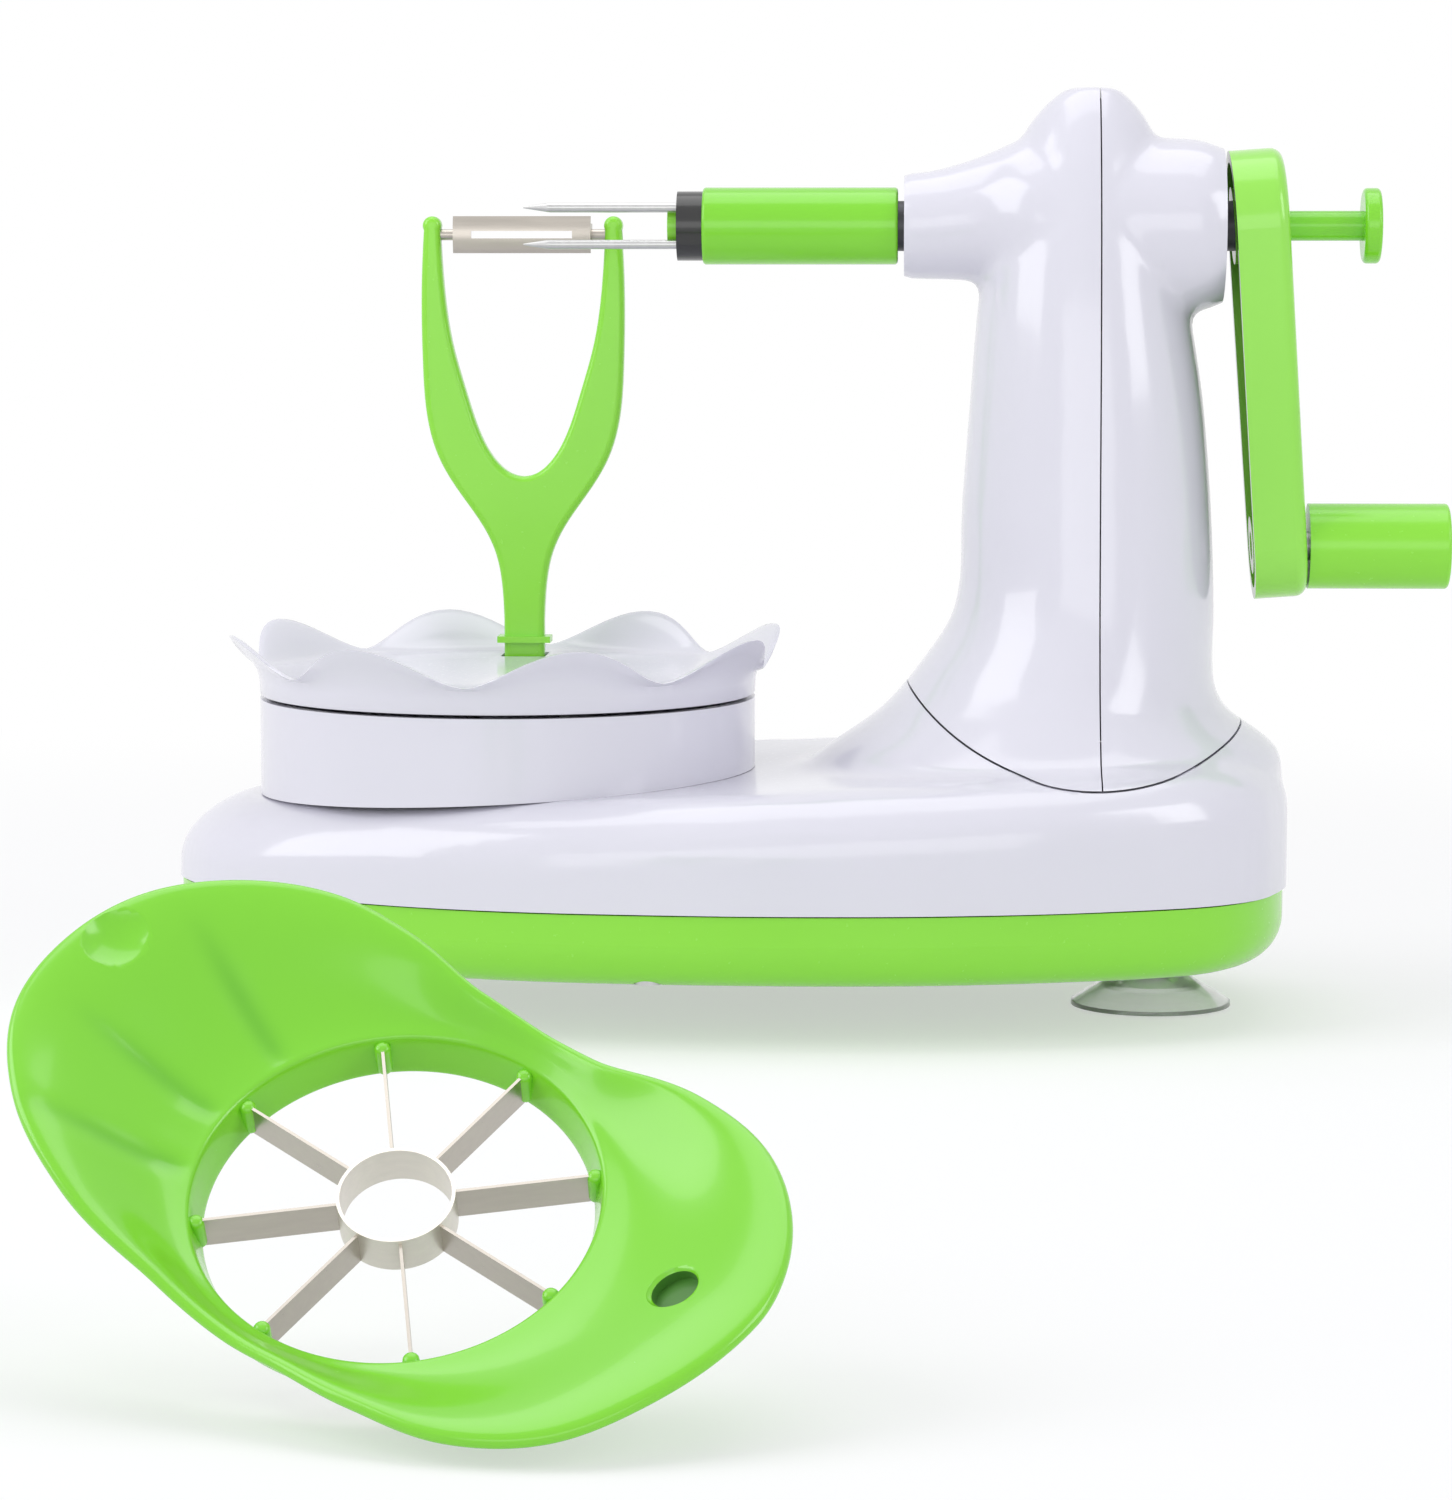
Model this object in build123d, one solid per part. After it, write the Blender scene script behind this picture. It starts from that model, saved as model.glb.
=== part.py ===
from build123d import *
import math
import os

# Apple peeler with a separate slicing corer, in millimetres.
# X runs along the machine towards the crank, Y towards its back, Z up.
# The origin lies on the table under the middle of the base.

# ---------------------------------------------------------------- base
base_left_x = -117.8
base_right_x = 115.6
base_half_depth = 65.0
wall = 2.2
pan_bottom_z = 12.0
pan_rim_z = 27.0
pan_inset = 0.6
pan_corner = 9.0
pan_step_z = 19.0
pan_step_inset = 6.0
cover_top_z = 47.6
cover_slope = 0.05
cover_shoulder = 12.0
rim_gap = 0.3

# ---------------------------------------------------------------- suction cups
cup_radius = 16.8
cup_height = 8.4
cup_wall = 1.6
cup_neck_radius = 5.0
cup_spots = [(88, 0), (-78, -28), (-78, 28)]

# ---------------------------------------------------------------- column
column_x = 75.6
seam_radius = 52.0
seam_z = 103.0
seam_gap = 0.4
parting_gap = 0.3
shaft_z = 163.5
# Each row of the column: height, left edge, right edge, half depth.
column_rows = [
    (42.0, 13.0, 114.0, 44.5),
    (49.0, 13.5, 113.6, 44.5),
    (54.0, 18.5, 111.4, 43.0),
    (60.0, 27.5, 105.4, 39.0),
    (70.0, 37.4, 100.8, 33.4),
    (84.0, 46.2, 100.6, 29.2),
    (106.0, 47.6, 99.5, 26.8),
    (128.0, 49.2, 97.6, 25.2),
    (148.0, 50.8, 94.4, 23.0),
    (164.0, 53.4, 91.4, 20.0),
    (176.0, 57.0, 88.0, 15.8),
    (185.0, 62.6, 83.8, 10.8),
    (192.0, 68.2, 79.0, 5.4),
]
nozzle_end_x = 35.3
nozzle_end_radius = 10.2
boss_end_x = 101.4
boss_end_radius = 15.3
boss_root_radius = 18.8

# ---------------------------------------------------------------- running fits
running_gap = 0.08
side_gap = 0.4

# ---------------------------------------------------------------- gear train
gear_module = 1.5
column_pinion_teeth = 16
idler_wheel_teeth = 62
idler_pinion_teeth = 14
table_wheel_teeth = 64
tooth_width_share = 0.40
addendum_share = 0.80
dedendum_share = 1.15
bevel_teeth = 16
bevel_module = 1.25
bevel_face_share = 0.28
wheel_width = 5.0
pinion_width = 7.0
lower_gear_z = 18.0
upper_gear_z = 26.0
vertical_shaft_radius = 3.5

# ---------------------------------------------------------------- turntable
table_x = -48.0
pedestal_radius = 52.2
pedestal_top_z = 65.0
tray_gap = 0.7
tray_floor_z = 70.2
tray_floor = 2.0
tray_rim_radius = 56.0
tray_crest_z = 79.0
tray_trough_z = 70.8
tray_wall = 1.9
petals = 8
petal_turn = -4.0
spindle_radius = 5.0

# ---------------------------------------------------------------- blade arm
arm_reach = pedestal_radius - 12.2
arm_thickness = 5.0
arm_edge = 1.4
arm_pivot_z = 60.5
arm_pin_radius = 1.5
arm_stem_half = 4.4
arm_tip_z = 166.0
blade_axis_z = 162.0
blade_length = 30.0

# ---------------------------------------------------------------- crank and fork
tube_radius = 5.2
rod_radius = 3.1
sleeve_radius = 8.0
sleeve_left_x = -6.7
sleeve_right_x = 34.0
fork_hub_radius = 7.2
fork_hub_left_x = -12.0
prong_circle = 5.4
prong_radius = 0.95
prong_end_x = -44.0
crank_throw = 66.5
crank_lean = 4.0
crank_inner_x = 103.4
crank_thickness = 11.0
crank_hub_radius = 15.5
crank_tip_radius = 11.3
crank_wall = 2.4
grip_left_x = 119.8
grip_right_x = 149.0
grip_radius = 8.9
grip_cap = 1.6
grip_pin_radius = 3.0
knob_left_x = 130.3
knob_thickness = 3.6
knob_radius = 7.8

# ---------------------------------------------------------------- slicing corer
opening_radius = 28.5
corer_ring_wall = 3.3
corer_ring_depth = 6.4
corer_ring_taper = 1.3
corer_ring_foot = 1.5
corer_sheet = 2.6
core_radius = 8.3
core_height = 6.2
core_steel = 0.5
wedge_blades = 8
wedge_steel = 0.45
wedge_height = 5.4
wedge_drop = 0.9
clip_reach = 2.3
clip_width = 2.6
corer_x = -32.4
corer_y = -337.3
corer_tip_up = 39.5
corer_turn = -36.0
corer_rest_z = 27.68
corer_lay_reach = 23.38


def save(node, shape):
    """Write one node of the assembly."""
    export_step(shape, f"parts/{node}.step")
    print(node)


def along_x(x, radius, length, y=0.0, z=shaft_z):
    """A round bar along X that starts at x."""
    return Pos(x + length / 2, y, z) * Rot(0, 90, 0) * Cylinder(radius, length)


def rounded_bar(x, radius, length, edge, z=shaft_z):
    """A round bar along X whose two ends have rounded edges."""
    bar = along_x(x, radius, length, 0, z)
    return fillet(bar.edges().filter_by(GeomType.CIRCLE), edge)


def along_z(x, y, z, radius, length):
    """A round bar along Z that starts at height z."""
    return Pos(x, y, z + length / 2) * Cylinder(radius, length)


def slab(x0, x1, y0, y1, z0, z1):
    """A block between the limits given."""
    block = Box(x1 - x0, y1 - y0, z1 - z0)
    return Pos((x0 + x1) / 2, (y0 + y1) / 2, (z0 + z1) / 2) * block


def turned(profile, x, y, z):
    """Revolve (radius, height) points about a vertical line through x, y."""
    with_axis = make_face(Plane.XZ * Polyline(*profile, close=True))
    return Pos(x, y, z) * revolve(with_axis, Axis.Z)


# ================================================================ base shells
def planform(inset=0.0):
    """Egg-shaped outline of the base, blunt at the crank end."""
    half = [
        (-0.975, 0.22),
        (-0.87, 0.49),
        (-0.68, 0.71),
        (-0.42, 0.90),
        (-0.11, 0.985),
        (0.18, 1.0),
        (0.44, 0.955),
        (0.68, 0.845),
        (0.88, 0.67),
        (0.98, 0.36),
    ]
    front = [(-1.0, 0.0)] + [(x, -y) for x, y in half] + [(1.0, 0.0)]
    back = [(x, y) for x, y in reversed(half)]
    length = (base_right_x - base_left_x) / 2 - inset
    depth = base_half_depth - inset
    loop = Spline(*[(x * length, y * depth) for x, y in front + back], periodic=True).edge()
    middle = (base_right_x + base_left_x) / 2
    return Pos(middle, 0) * make_face([loop.trim(0.0, 0.5), loop.trim(0.5, 1.0)])


def above_cover_top(lift):
    """Everything over the sloping top of the cover, raised by lift."""
    tall = 100.0
    block = Box(4 * base_right_x, 4 * base_half_depth, tall)
    slope = -math.degrees(math.atan(cover_slope))
    return Pos(table_x, 0, cover_top_z + lift) * Rot(0, slope, 0) * Pos(0, 0, tall / 2) * block


def cover_block(inset):
    """Solid form of the white cover without the column, shrunk by inset."""
    start_z = pan_rim_z + rim_gap
    block = extrude(Pos(0, 0, start_z) * planform(inset), 40)
    block = block - above_cover_top(-inset)
    rim = [e for e in block.edges() if e.bounding_box().min.Z > start_z + 5]
    return fillet(rim, cover_shoulder - inset)


def column_block(inset):
    """Solid form of the column and its flared foot, shrunk by inset."""
    sections = []
    for z, left, right, half_depth in column_rows:
        drop = 0.6 * inset
        half_width = (right - left) / 2 - inset
        middle = (left + right) / 2
        loop = Ellipse(half_width, half_depth - inset).edge()
        halves = [loop.trim(0.0, 0.5), loop.trim(0.5, 1.0)]
        sections.append(Pos(middle, 0, z - drop) * make_face(halves))
    return loft(sections)


def nozzle():
    """Left neck of the column, where the spindle comes out."""
    profile = [
        (nozzle_end_x, 0),
        (nozzle_end_x, nozzle_end_radius - 0.8),
        (nozzle_end_x + 0.8, nozzle_end_radius),
        (nozzle_end_x + 8.7, nozzle_end_radius + 1.1),
        (nozzle_end_x + 14.7, nozzle_end_radius + 3.3),
        (nozzle_end_x + 21.0, nozzle_end_radius + 6.4),
        (nozzle_end_x + 27.0, nozzle_end_radius + 8.0),
        (nozzle_end_x + 27.0, 0),
    ]
    face = make_face(Plane.XZ * Polyline(*profile, close=True))
    return Pos(0, 0, shaft_z) * revolve(face, Axis.X)


def crank_boss():
    """Right boss of the column, towards the crank."""
    profile = [
        (boss_end_x - 22, 0),
        (boss_end_x - 22, boss_root_radius),
        (boss_end_x - 7, boss_root_radius - 0.4),
        (boss_end_x - 2, boss_end_radius + 1.4),
        (boss_end_x, boss_end_radius),
        (boss_end_x, 0),
    ]
    face = make_face(Plane.XZ * Polyline(*profile, close=True))
    return Pos(0, 0, shaft_z) * revolve(face, Axis.X)


def column_zone(radius):
    """The space of the column pieces: inside the round seam, and all above it."""
    roller = Pos(column_x, 0, seam_z) * Rot(90, 0, 0) * Cylinder(radius, 200)
    upper = slab(column_x - radius, column_x + radius, -100, 100, seam_z, 220)
    return roller + upper


cover_screw_spots = [
    (-104, 0),
    (-15, -56),
    (-15, 56),
    (62, -49),
    (62, 49),
    (102, -22),
    (102, 22),
]
screw_radius = 1.5
screw_head_radius = 3.0
screw_post_radius = 4.2
column_screw_spots = [(14, 100), (13, 130)]
column_screw_head_x = 89.0
column_screw_end_x = 62.0

idler_x = table_x + gear_module * (idler_pinion_teeth + table_wheel_teeth) / 2
upright_x = idler_x + gear_module * (column_pinion_teeth + idler_wheel_teeth) / 2
bearing_bore = vertical_shaft_radius + running_gap
spindle_bore = spindle_radius + running_gap
bush_radius = 7.0
idler_post_radius = 4.0

outer_cover = cover_block(0.0)
inner_cover = cover_block(wall)
outer_column = column_block(0.0)
inner_column = column_block(wall)
neck = nozzle()
boss = crank_boss()
outside = outer_cover + outer_column + neck + boss
lower_cut = slab(-200, 200, -100, 100, 0, pan_rim_z + rim_gap)
outside = outside - lower_cut
inside = inner_cover + inner_column
spindle_bore_cut = along_x(nozzle_end_x - 1, bush_radius, boss_end_x - nozzle_end_x + 2)

# Screw posts join the cover to the pan.
posts = [along_z(x, y, pan_rim_z + rim_gap, screw_post_radius, 30) for x, y in cover_screw_spots]
table_boss_radius = spindle_radius + 4.0
table_boss = along_z(table_x, 0, 40, table_boss_radius, 17)
shell = outside - inside
cover_posts = (Part() + posts) & outside
base_cover = (shell + cover_posts) - column_zone(seam_radius + seam_gap) + table_boss
for x, y in cover_screw_spots:
    base_cover = base_cover - along_z(x, y, pan_rim_z, screw_radius, 10)
base_cover = base_cover - along_z(table_x, 0, 30, spindle_bore, 40)
save("base_cover", base_cover)


# ================================================================ column halves
def column_half(side):
    """Left (-1) or right (+1) half of the column, with its screw bosses."""
    far = column_x + side * 90
    near = column_x + side * parting_gap / 2
    half_space = slab(min(near, far), max(near, far), -100, 100, 0, 220)
    half = shell & column_zone(seam_radius)
    for y, z in column_screw_spots:
        half = half + (along_x(column_x - 45, screw_post_radius, 90, y, z) & outer_column)
    half = (half + ((neck + boss) - inner_column)) - spindle_bore_cut
    half = half & half_space
    for y, z in column_screw_spots:
        half = half - along_x(column_screw_end_x, screw_radius, 40, y, z)
        half = half - along_x(column_screw_head_x, screw_head_radius, 30, y, z)
    return half


save("column_left_shell", column_half(-1))
save("column_right_shell", column_half(1))


def screw(length):
    """Pan-head screw that points along +Z, head under the origin."""
    head = Pos(0, 0, -1.1) * Cylinder(screw_head_radius - 0.1, 2.2)
    slot = Pos(0, 0, -2.0) * (Box(3.6, 0.8, 0.8) + Box(0.8, 3.6, 0.8))
    shank = Pos(0, 0, length / 2) * Cylinder(screw_radius, length)
    return head - slot + shank


column_screws = [
    Pos(column_screw_head_x, y, z) * Rot(0, -90, 0) * screw(column_screw_head_x - column_screw_end_x)
    for y, z in column_screw_spots
]
save("column_screws", Compound(children=column_screws))


# ================================================================ base pan
def base_pan():
    """Green tray that closes the base from below."""
    block = extrude(Pos(0, 0, pan_bottom_z) * planform(pan_inset), pan_rim_z - pan_bottom_z)
    foot = [e for e in block.edges() if e.bounding_box().max.Z < pan_bottom_z + 1]
    block = fillet(foot, pan_corner)
    core = extrude(Pos(0, 0, pan_step_z) * planform(pan_inset + wall), pan_rim_z - pan_step_z)
    well = extrude(Pos(0, 0, pan_bottom_z + wall) * planform(pan_inset + pan_step_inset), 10)
    pan = block - (core + well)
    floor_z = pan_bottom_z + wall - 0.1
    for x, y in cover_screw_spots:
        pan = pan + along_z(x, y, floor_z, screw_post_radius, pan_rim_z - floor_z)
    pan = pan + along_z(upright_x, 0, floor_z, bearing_bore + 3, 2.6)
    pan = pan + along_z(table_x, 0, floor_z, spindle_bore + 3, 2.6)
    pan = pan + along_z(idler_x, 0, floor_z, idler_post_radius + 3, 2.6)
    for x, y in cup_spots:
        pan = pan + along_z(x, y, cup_height, cup_neck_radius, pan_bottom_z + 1 - cup_height)
    return pan


pan = base_pan()
for x, y in cover_screw_spots:
    pan = pan - along_z(x, y, 0, screw_radius + 0.1, 40)
    pan = pan - along_z(x, y, 0, screw_head_radius, pan_bottom_z + 2.6)
pan = pan - along_z(upright_x, 0, pan_bottom_z + wall, bearing_bore, 10)
pan = pan - along_z(table_x, 0, pan_bottom_z + wall, spindle_bore, 10)
pan = pan - along_z(idler_x, 0, pan_bottom_z + wall, idler_post_radius, 10)
save("base_pan", pan)

pan_screws = [Pos(x, y, pan_bottom_z + 2.6) * screw(20) for x, y in cover_screw_spots]
save("base_screws", Compound(children=pan_screws))


def suction_cup(x, y):
    """Clear cup with a thin lip, hollow from below."""
    top = cup_height
    outer = [
        (0, top),
        (cup_neck_radius + 1.6, top),
        (cup_neck_radius + 2.2, top - 1.4),
        (cup_radius * 0.62, top * 0.56),
        (cup_radius * 0.86, top * 0.28),
        (cup_radius, 0.9),
        (cup_radius, 0),
        (cup_radius - 1.0, 0),
        (cup_radius * 0.84 - 0.8, top * 0.28 - cup_wall * 0.6),
        (cup_radius * 0.60, top * 0.56 - cup_wall),
        (cup_neck_radius, top - 1.4 - cup_wall),
        (0, top - 1.8 - cup_wall),
    ]
    return turned(outer, x, y, 0)


cup_names = ["right", "front_left", "rear_left"]
for name, (x, y) in zip(cup_names, cup_spots):
    save(f"suction_cup_{name}", suction_cup(x, y))


# ================================================================ turntable pedestal
def pedestal():
    """Fixed ring under the tray, seated on the sloping cover."""
    ring = along_z(table_x, 0, 40, pedestal_radius, pedestal_top_z - 40)
    ring = ring - along_z(table_x, 0, 39, pedestal_radius - wall, 40)
    return ring & above_cover_top(0.0)


save("turntable_pedestal", pedestal())


# ================================================================ gears
def tooth_outline(teeth, module, turn, flare=1.0):
    """Closed outline of a toothed wheel with straight-sided teeth."""
    pitch = module * teeth / 2
    root = pitch - dedendum_share * module * flare
    tip = pitch + addendum_share * module * flare
    step = 360 / teeth
    corners = []
    for n in range(teeth):
        middle = turn + n * step
        half = step * tooth_width_share / 2
        for radius, spread in ((root, 1.45), (tip, 0.55)):
            corners.append((radius, middle - half * spread))
        for radius, spread in ((tip, 0.55), (root, 1.45)):
            corners.append((radius, middle + half * spread))
    points = [
        (r * math.cos(math.radians(a)), r * math.sin(math.radians(a))) for r, a in corners
    ]
    return make_face(Polyline(*points, close=True))


def spur_wheel(x, z, teeth, width, bore, turn):
    """Spur wheel with a hub, on a vertical axis."""
    wheel = extrude(tooth_outline(teeth, gear_module, turn), width)
    return Pos(x, 0, z) * (wheel - Pos(0, 0, width / 2) * Cylinder(bore, 2 * width))


def half_step(teeth):
    """Half the angle from one tooth to the next."""
    return 180 / teeth


def facing_gap(teeth, towards):
    """Turn that puts a gap, not a tooth, at the angle towards."""
    return towards + half_step(teeth)


wheel_hub_radius = 8.5
wheel_web = 2.2


def lightened(wheel, x, z, teeth, width):
    """Thin the disc of a large wheel between hub and rim."""
    rim = gear_module * teeth / 2 - 5
    ring = Cylinder(rim, width) - Cylinder(wheel_hub_radius, width)
    return wheel - Pos(x, 0, z + width / 2 + wheel_web) * ring


# The column pinion shows a tooth towards the idler, and the idler a gap.
column_pinion = spur_wheel(
    upright_x,
    lower_gear_z - 1,
    column_pinion_teeth,
    pinion_width,
    vertical_shaft_radius,
    180,
)
save("column_pinion", column_pinion)
idler_wheel = spur_wheel(
    idler_x,
    lower_gear_z,
    idler_wheel_teeth,
    wheel_width,
    idler_post_radius + running_gap,
    facing_gap(idler_wheel_teeth, 0),
)
idler_wheel = lightened(idler_wheel, idler_x, lower_gear_z, idler_wheel_teeth, wheel_width)
# The idler pinion shows a tooth towards the tray, and the tray wheel a gap.
idler_pinion = spur_wheel(
    idler_x,
    lower_gear_z + wheel_width,
    idler_pinion_teeth,
    upper_gear_z - lower_gear_z + 1,
    idler_post_radius + running_gap,
    180,
)
save("idler_gear", idler_wheel + idler_pinion)
table_wheel = spur_wheel(
    table_x,
    upper_gear_z,
    table_wheel_teeth,
    wheel_width,
    spindle_radius,
    facing_gap(table_wheel_teeth, 0),
)
table_wheel = lightened(table_wheel, table_x, upper_gear_z, table_wheel_teeth, wheel_width)
save("turntable_gear", table_wheel)

idler_post_top = upper_gear_z + 10.0
idler_post = along_z(idler_x, 0, pan_bottom_z + wall, idler_post_radius, 20)
idler_post = idler_post + along_z(
    idler_x, 0, pan_bottom_z + wall + 20, idler_post_radius - 1, idler_post_top - 34.2
)
save("idler_post", idler_post)


def bevel_wheel(teeth, turn):
    """Straight bevel wheel about Z, its cone apex at the origin, teeth downwards."""
    radius = bevel_module * teeth / 2
    small = 1 - bevel_face_share
    face = tooth_outline(teeth, bevel_module, turn, flare=0.95)
    large_end = Pos(0, 0, -radius) * face
    small_end = Pos(0, 0, -radius * small) * scale(face, small)
    return loft([large_end, small_end], ruled=True)


bevel_radius = bevel_module * bevel_teeth / 2
bevel_hub = 5.0
driven_bevel = bevel_wheel(bevel_teeth, facing_gap(bevel_teeth, 0))
driven_bevel = driven_bevel + Pos(0, 0, -bevel_radius - bevel_hub / 2) * Cylinder(7, bevel_hub)
driven_bevel = Pos(upright_x, 0, shaft_z) * driven_bevel
driven_bevel = driven_bevel - along_z(
    upright_x, 0, shaft_z - bevel_radius - bevel_hub, vertical_shaft_radius, 10.0
)
save("driven_bevel_gear", driven_bevel)
drive_bevel = bevel_wheel(bevel_teeth, 0)
drive_bevel = drive_bevel + Pos(0, 0, -bevel_radius - bevel_hub / 2) * Cylinder(8, bevel_hub)
drive_bevel = Pos(upright_x, 0, shaft_z) * Rot(0, -90, 0) * drive_bevel
drive_bevel = drive_bevel - along_x(upright_x, tube_radius, 30)
save("drive_bevel_gear", drive_bevel)

upright_bottom_z = pan_bottom_z + wall + 0.2
upright_top_z = shaft_z - bevel_radius + 2.0
upright = along_z(upright_x, 0, upright_bottom_z, vertical_shaft_radius, upright_top_z - upright_bottom_z)
save("vertical_shaft", upright)


def shaft_guide(z, thickness):
    """Plate across the column that steadies the vertical shaft."""
    plate = slab(0, 150, -60, 60, z, z + thickness) & inner_column
    plate = plate - along_z(upright_x, 0, z - 1, bearing_bore, thickness + 2)
    for y, screw_z in column_screw_spots:
        plate = plate - along_x(column_x - 45, screw_post_radius, 90, y, screw_z)
    return plate


save("upper_shaft_guide", shaft_guide(138.0, 4.0))
save("lower_shaft_guide", shaft_guide(80.0, 4.0))

collar_radius = vertical_shaft_radius + 3
lower_collar = along_z(upright_x, 0, 84.0 + side_gap, collar_radius, 4)
lower_collar = lower_collar - along_z(upright_x, 0, 80, vertical_shaft_radius, 12)
save("shaft_collar", lower_collar)

for name, x, length in (("left", nozzle_end_x + 0.4, 14.0), ("right", boss_end_x - 13.4, 13.0)):
    bush = along_x(x, bush_radius, length) - along_x(x - 1, tube_radius + running_gap, length + 2)
    save(f"spindle_bush_{name}", bush)


# ================================================================ turntable
tray_bottom_z = pedestal_top_z + tray_gap


def flower_tray():
    """White tray with an eight-petal rim, slotted for the blade arm."""
    profile = [
        (pedestal_radius - tray_wall, tray_bottom_z),
        (pedestal_radius, tray_bottom_z),
        (pedestal_radius + 0.6, tray_floor_z),
        (tray_rim_radius - 1.0, tray_crest_z - 3.4),
        (tray_rim_radius, tray_crest_z),
        (tray_rim_radius - tray_wall, tray_crest_z),
        (tray_rim_radius - 1.2 - tray_wall, tray_crest_z - 3.4),
        (pedestal_radius + 0.4 - tray_wall, tray_floor_z),
        (0, tray_floor_z),
        (0, tray_floor_z - tray_floor),
        (pedestal_radius - tray_wall, tray_floor_z - tray_floor),
    ]
    tray = turned(profile, 0, 0, 0)
    for n in range(petals):
        tray = tray - Rot(0, 0, 90 + petal_turn + n * 360 / petals) * petal_notch()
    hub = along_z(0, 0, 59, spindle_radius + 3.5, tray_floor_z - tray_floor - 59)
    tray = tray + hub - along_z(0, 0, 50, spindle_radius, 15)
    slot = slab(-arm_slot_half, arm_slot_half, arm_reach - 5.4, arm_reach + 6.4, 60, 80)
    return Pos(table_x, 0, 0) * (tray - slot)


def petal_notch():
    """Cutter for the dip between two petals, along +X."""
    half = math.pi * tray_rim_radius / petals
    dip = tray_trough_z
    crest = tray_crest_z
    curve = Spline(
        (-half, crest + 0.2),
        (-half * 0.62, crest - 0.9),
        (-half * 0.28, crest - 4.6),
        (0, dip),
        (half * 0.28, crest - 4.6),
        (half * 0.62, crest - 0.9),
        (half, crest + 0.2),
        tangents=[(1, 0), (1, 0)],
    )
    lid = Polyline((half, crest + 0.2), (half, crest + 9), (-half, crest + 9), (-half, crest + 0.2))
    face = Plane.YZ * make_face(curve + lid)
    return Pos(tray_rim_radius - 14, 0, 0) * extrude(face, 30)


arm_slot_half = arm_stem_half + 0.5
save("flower_tray", flower_tray())

spindle_bottom_z = pan_bottom_z + wall + 0.2
spindle = along_z(table_x, 0, spindle_bottom_z, spindle_radius, 65 - spindle_bottom_z)
save("turntable_spindle", spindle)


def arm_bracket():
    """Two cheeks under the tray that carry the pivot pin of the blade arm."""
    top = tray_floor_z - tray_floor
    cheeks = Part()
    for side in (-1, 1):
        inner = side * (arm_stem_half + side_gap)
        outer = side * (arm_stem_half + side_gap + 3)
        x0, x1 = min(inner, outer), max(inner, outer)
        cheeks = cheeks + slab(x0, x1, arm_reach - 7, arm_reach + 7, arm_pivot_z - 4, top)
    hole = along_x(-20, arm_pin_radius, 40, arm_reach, arm_pivot_z)
    stop = slab(-arm_stem_half - 1, arm_stem_half + 1, arm_reach - 7, arm_reach - 4.4, 62.5, top)
    return Pos(table_x, 0, 0) * (cheeks - hole + stop)


save("arm_bracket", arm_bracket())
pin_half = arm_stem_half + side_gap + 3.6
arm_pin = along_x(table_x - pin_half, arm_pin_radius, 2 * pin_half, arm_reach, arm_pivot_z)
save("arm_pivot_pin", arm_pin)


def arm_spring():
    """Coil beside one cheek that presses the arm towards the fruit."""
    coil_radius = 3.0
    wire = 0.4
    path = Helix(pitch=1.0, height=5.0, radius=coil_radius)
    start = Pos(coil_radius, 0, 0) * Rot(90, 0, 0) * Circle(wire)
    coil = sweep(start, path=path)
    spring_x = table_x + arm_stem_half + side_gap + 3.6
    return Pos(spring_x, arm_reach, arm_pivot_z) * Rot(0, 90, 0) * coil


save("arm_spring", arm_spring())


# ================================================================ blade arm
def blade_arm():
    """Green Y-shaped arm with two prongs that hold the peeling blade."""
    foot_z = arm_pivot_z - 3.6
    outer = [
        (arm_stem_half, foot_z),
        (arm_stem_half, 78),
        (arm_stem_half + 0.5, 86),
        (6.2, 92.5),
        (9.0, 98.5),
        (14.2, 106),
        (18.6, 113.5),
        (21.2, 123),
        (22.0, 134),
        (22.2, 148),
        (21.6, arm_tip_z - 3),
    ]
    inner = [
        (18.0, arm_tip_z - 3),
        (17.2, 150),
        (15.4, 138),
        (12.6, 128),
        (9.6, 119),
        (6.2, 113),
        (3.0, 110.2),
        (0, 109.4),
    ]
    half = Line((0, foot_z), outer[0]) + Line(outer[0], outer[1])
    half = half + Spline(*outer[1:]) + ThreePointArc(outer[-1], (19.8, arm_tip_z), inner[0])
    half = half + Spline(*inner) + Line(inner[-1], (0, foot_z))
    face = make_face(half)
    face = face + mirror(face, Plane.YZ)
    body = extrude(Plane.XZ * face, arm_thickness / 2, both=True)
    rims = [e for e in body.edges() if e.bounding_box().size.Y < side_gap]
    return fillet(rims, arm_edge)


def place_on_arm(shape):
    """Move a shape from the middle of the arm to the back of the tray."""
    return Pos(table_x, arm_reach, 0) * shape


arm = blade_arm()
arm = arm + slab(-arm_stem_half - 1.4, arm_stem_half + 1.4, -3.4, 3.4, 73, 74.4)
arm = arm - Pos(0, 0, arm_pivot_z) * Rot(0, 90, 0) * Cylinder(arm_pin_radius + running_gap, 30)
blade_pin_radius = 1.2
arm = arm - Pos(0, 0, blade_axis_z) * Rot(0, 90, 0) * Cylinder(blade_pin_radius + running_gap, 60)
save("blade_arm", place_on_arm(arm))

blade_width = 8.0
blade_steel = 0.8
blade_slit = 1.6


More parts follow.
